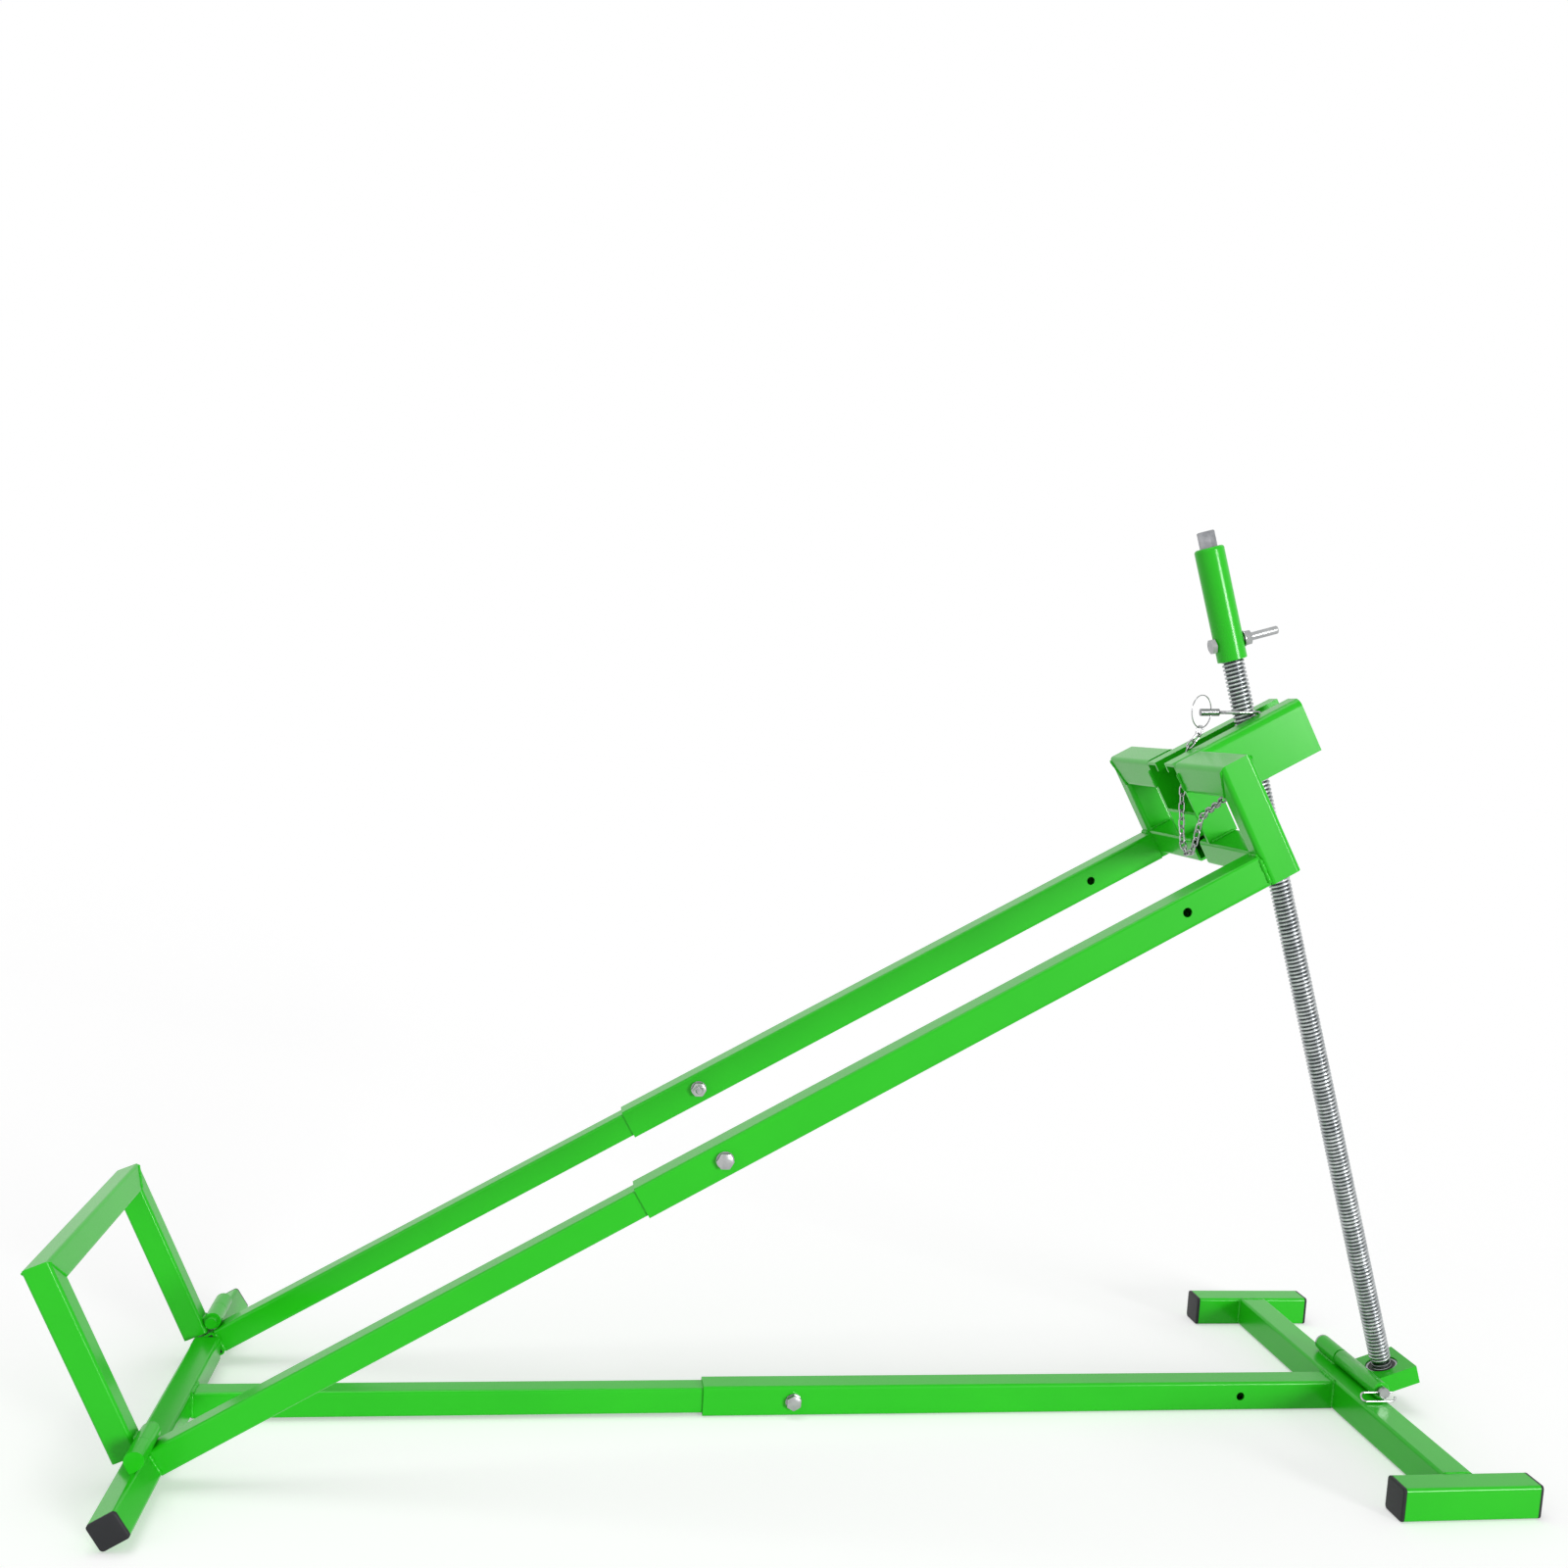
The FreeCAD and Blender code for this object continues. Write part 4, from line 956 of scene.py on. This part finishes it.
# %% Welds of the spindle's foot: its block on the hinge's barrel
foot_beads = [
    bead([(-31.6, -33, 2.2), (-31.6, 30, 2.2)], 2.4),
    bead([(-33.4, -33, -1.6), (-33.4, 30, -1.6)], 2.0),
]
piece("foot_welds", *merge(foot_beads), FOOT, "spindle_foot", "green_paint")

# %% [markdown]
# ## The split ring
#
# A split ring is two close turns of springy wire, not one solid ring. The wire is swept along a
# helix of a little under two turns that stays as thin as the single ring it stands for.

# %% Split ring
COIL_RADIUS = 20
COIL_WIRE = 0.5
COIL_TURNS = 1.94
COIL_START = 0.9
COIL_POINTS = 220
COIL_HEADING = math.radians(33)


def wire(points, radius, sides=12):
    """A round wire along a smooth run of points."""
    verts = []
    last = len(points) - 1
    normal = (points[1] - points[0]).orthogonal().normalized()
    for number, spot in enumerate(points):
        direction = (points[min(number + 1, last)] - points[max(number - 1, 0)]).normalized()
        normal = (normal - direction * normal.dot(direction)).normalized()
        other = direction.cross(normal)
        for step in range(sides):
            turn = 2 * math.pi * step / sides
            verts.append(spot + (normal * math.cos(turn) + other * math.sin(turn)) * radius)
    return verts, run_skin(len(points), sides)


low, high = (Vector(corner) * TO_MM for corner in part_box("split_ring"))
middle = (low + high) / 2
flat = Vector((math.cos(COIL_HEADING), math.sin(COIL_HEADING), 0))
side_way = Vector((-math.sin(COIL_HEADING), math.cos(COIL_HEADING), 0))
coil = []
for number in range(COIL_POINTS):
    part = number / (COIL_POINTS - 1)
    turn = 2 * math.pi * COIL_TURNS * part + COIL_START
    upwards = Vector((0, 0, COIL_RADIUS * math.sin(turn)))
    step_over = COIL_WIRE * (2 * part - 1)
    coil.append(middle + flat * (COIL_RADIUS * math.cos(turn)) + upwards + side_way * step_over)
piece(
    "split_ring_coil", *wire(coil, COIL_WIRE), BASE, "arm", "bright_chrome", smooth=60,
    stands_for=["split_ring"],
)

# %% [markdown]
# ## Floor and light
#
# A workshop catalogue shows its goods on white. The floor is a pale matt plane that keeps the
# lift's soft shadow, and the world is white to the camera and in reflections. Lamps near the
# object would leave a bright pool on the floor, so all the lamps are far and even, like a window
# front: a strong one from the camera's side, a fill from the left and a weak one from above. The
# floor's own lift makes up exactly what its light lacks to white.

# %% How strong the lights are
FLOOR_GREY = 0.8
SKY = 0.4
# Each sun has the way its light goes, its spread in degrees and its power
SUNS = {
    "key": ((-0.5, 0.86, -0.16), 16, 0.6),
    "fill": ((0.9, 0.75, -0.5), 50, 0.1),
    "top": ((0.2, -0.1, -1.0), 36, 0.22),
}
WHITE = (1, 1, 1, 1)
falling = [power * -Vector(towards).normalized().z for towards, _, power in SUNS.values()]
floor_light = SKY + sum(falling)
print("light on the open floor", round(floor_light, 3))


# %% Rays that see the background
def seen_directly(tree):
    """1 for rays from the camera, reflections or glass, and 0 for light on its way."""
    rays = tree.nodes.new("ShaderNodeLightPath")
    largest = rays.outputs["Is Camera Ray"]
    for label in ("Is Glossy Ray", "Is Transmission Ray"):
        largest = maths(tree, "MAXIMUM", largest, rays.outputs[label])
    return largest


# %% Floor
FLOOR_REACH = 30
FLOOR_LEVEL = -0.0006


def floor_material():
    """A matt floor that keeps its shadows, lifted to white where nothing shades it."""
    material = bpy.data.materials.new("pale_floor")
    material.use_nodes = True
    tree = material.node_tree
    shader = tree.nodes["Principled BSDF"]
    lift = maths(tree, "MULTIPLY", seen_directly(tree), 1.0 - FLOOR_GREY * floor_light)
    for label, given in (
        ("Base Color", (FLOOR_GREY, FLOOR_GREY, FLOOR_GREY, 1)), ("Roughness", 0.9),
        ("Specular IOR Level", 0.0), ("Emission Color", WHITE), ("Emission Strength", lift),
    ):
        feed(tree, shader.inputs[label], given)
    return material


floor_mesh = bpy.data.meshes.new("floor")
corners = [
    (FLOOR_REACH * x, FLOOR_REACH * y, FLOOR_LEVEL) for x, y in ((-1, -1), (1, -1), (1, 1), (-1, 1))
]
floor_mesh.from_pydata(corners, [], [(0, 1, 2, 3)])
floor_mesh.materials.append(floor_material())
floor = bpy.data.objects.new("floor", floor_mesh)
bpy.context.scene.collection.objects.link(floor)

# %% World and lamps
world = bpy.data.worlds.new("studio")
bpy.context.scene.world = world
world.use_nodes = True
tree = world.node_tree
background = tree.nodes["Background"]
background.inputs["Color"].default_value = WHITE
background.inputs["Strength"].default_value = SKY
seen = tree.nodes.new("ShaderNodeBackground")
seen.inputs["Color"].default_value = WHITE
seen.inputs["Strength"].default_value = 1.0
chooser = tree.nodes.new("ShaderNodeMixShader")
for socket, given in zip(
    chooser.inputs, (seen_directly(tree), background.outputs[0], seen.outputs[0]),
):
    feed(tree, socket, given)
feed(tree, tree.nodes["World Output"].inputs["Surface"], chooser.outputs[0])


def sun(name, towards, spread, power):
    """Even light from far away; the power is what a matt white face turned to it sends back."""
    data = bpy.data.lights.new(name, "SUN")
    data.angle = math.radians(spread)
    data.energy = power * math.pi
    item = bpy.data.objects.new(name, data)
    item.rotation_euler = Vector(towards).to_track_quat("-Z", "Y").to_euler()
    bpy.context.scene.collection.objects.link(item)


for name, (towards, spread, power) in SUNS.items():
    sun(name, towards, spread, power)
bpy.context.scene.view_settings.view_transform = "Standard"
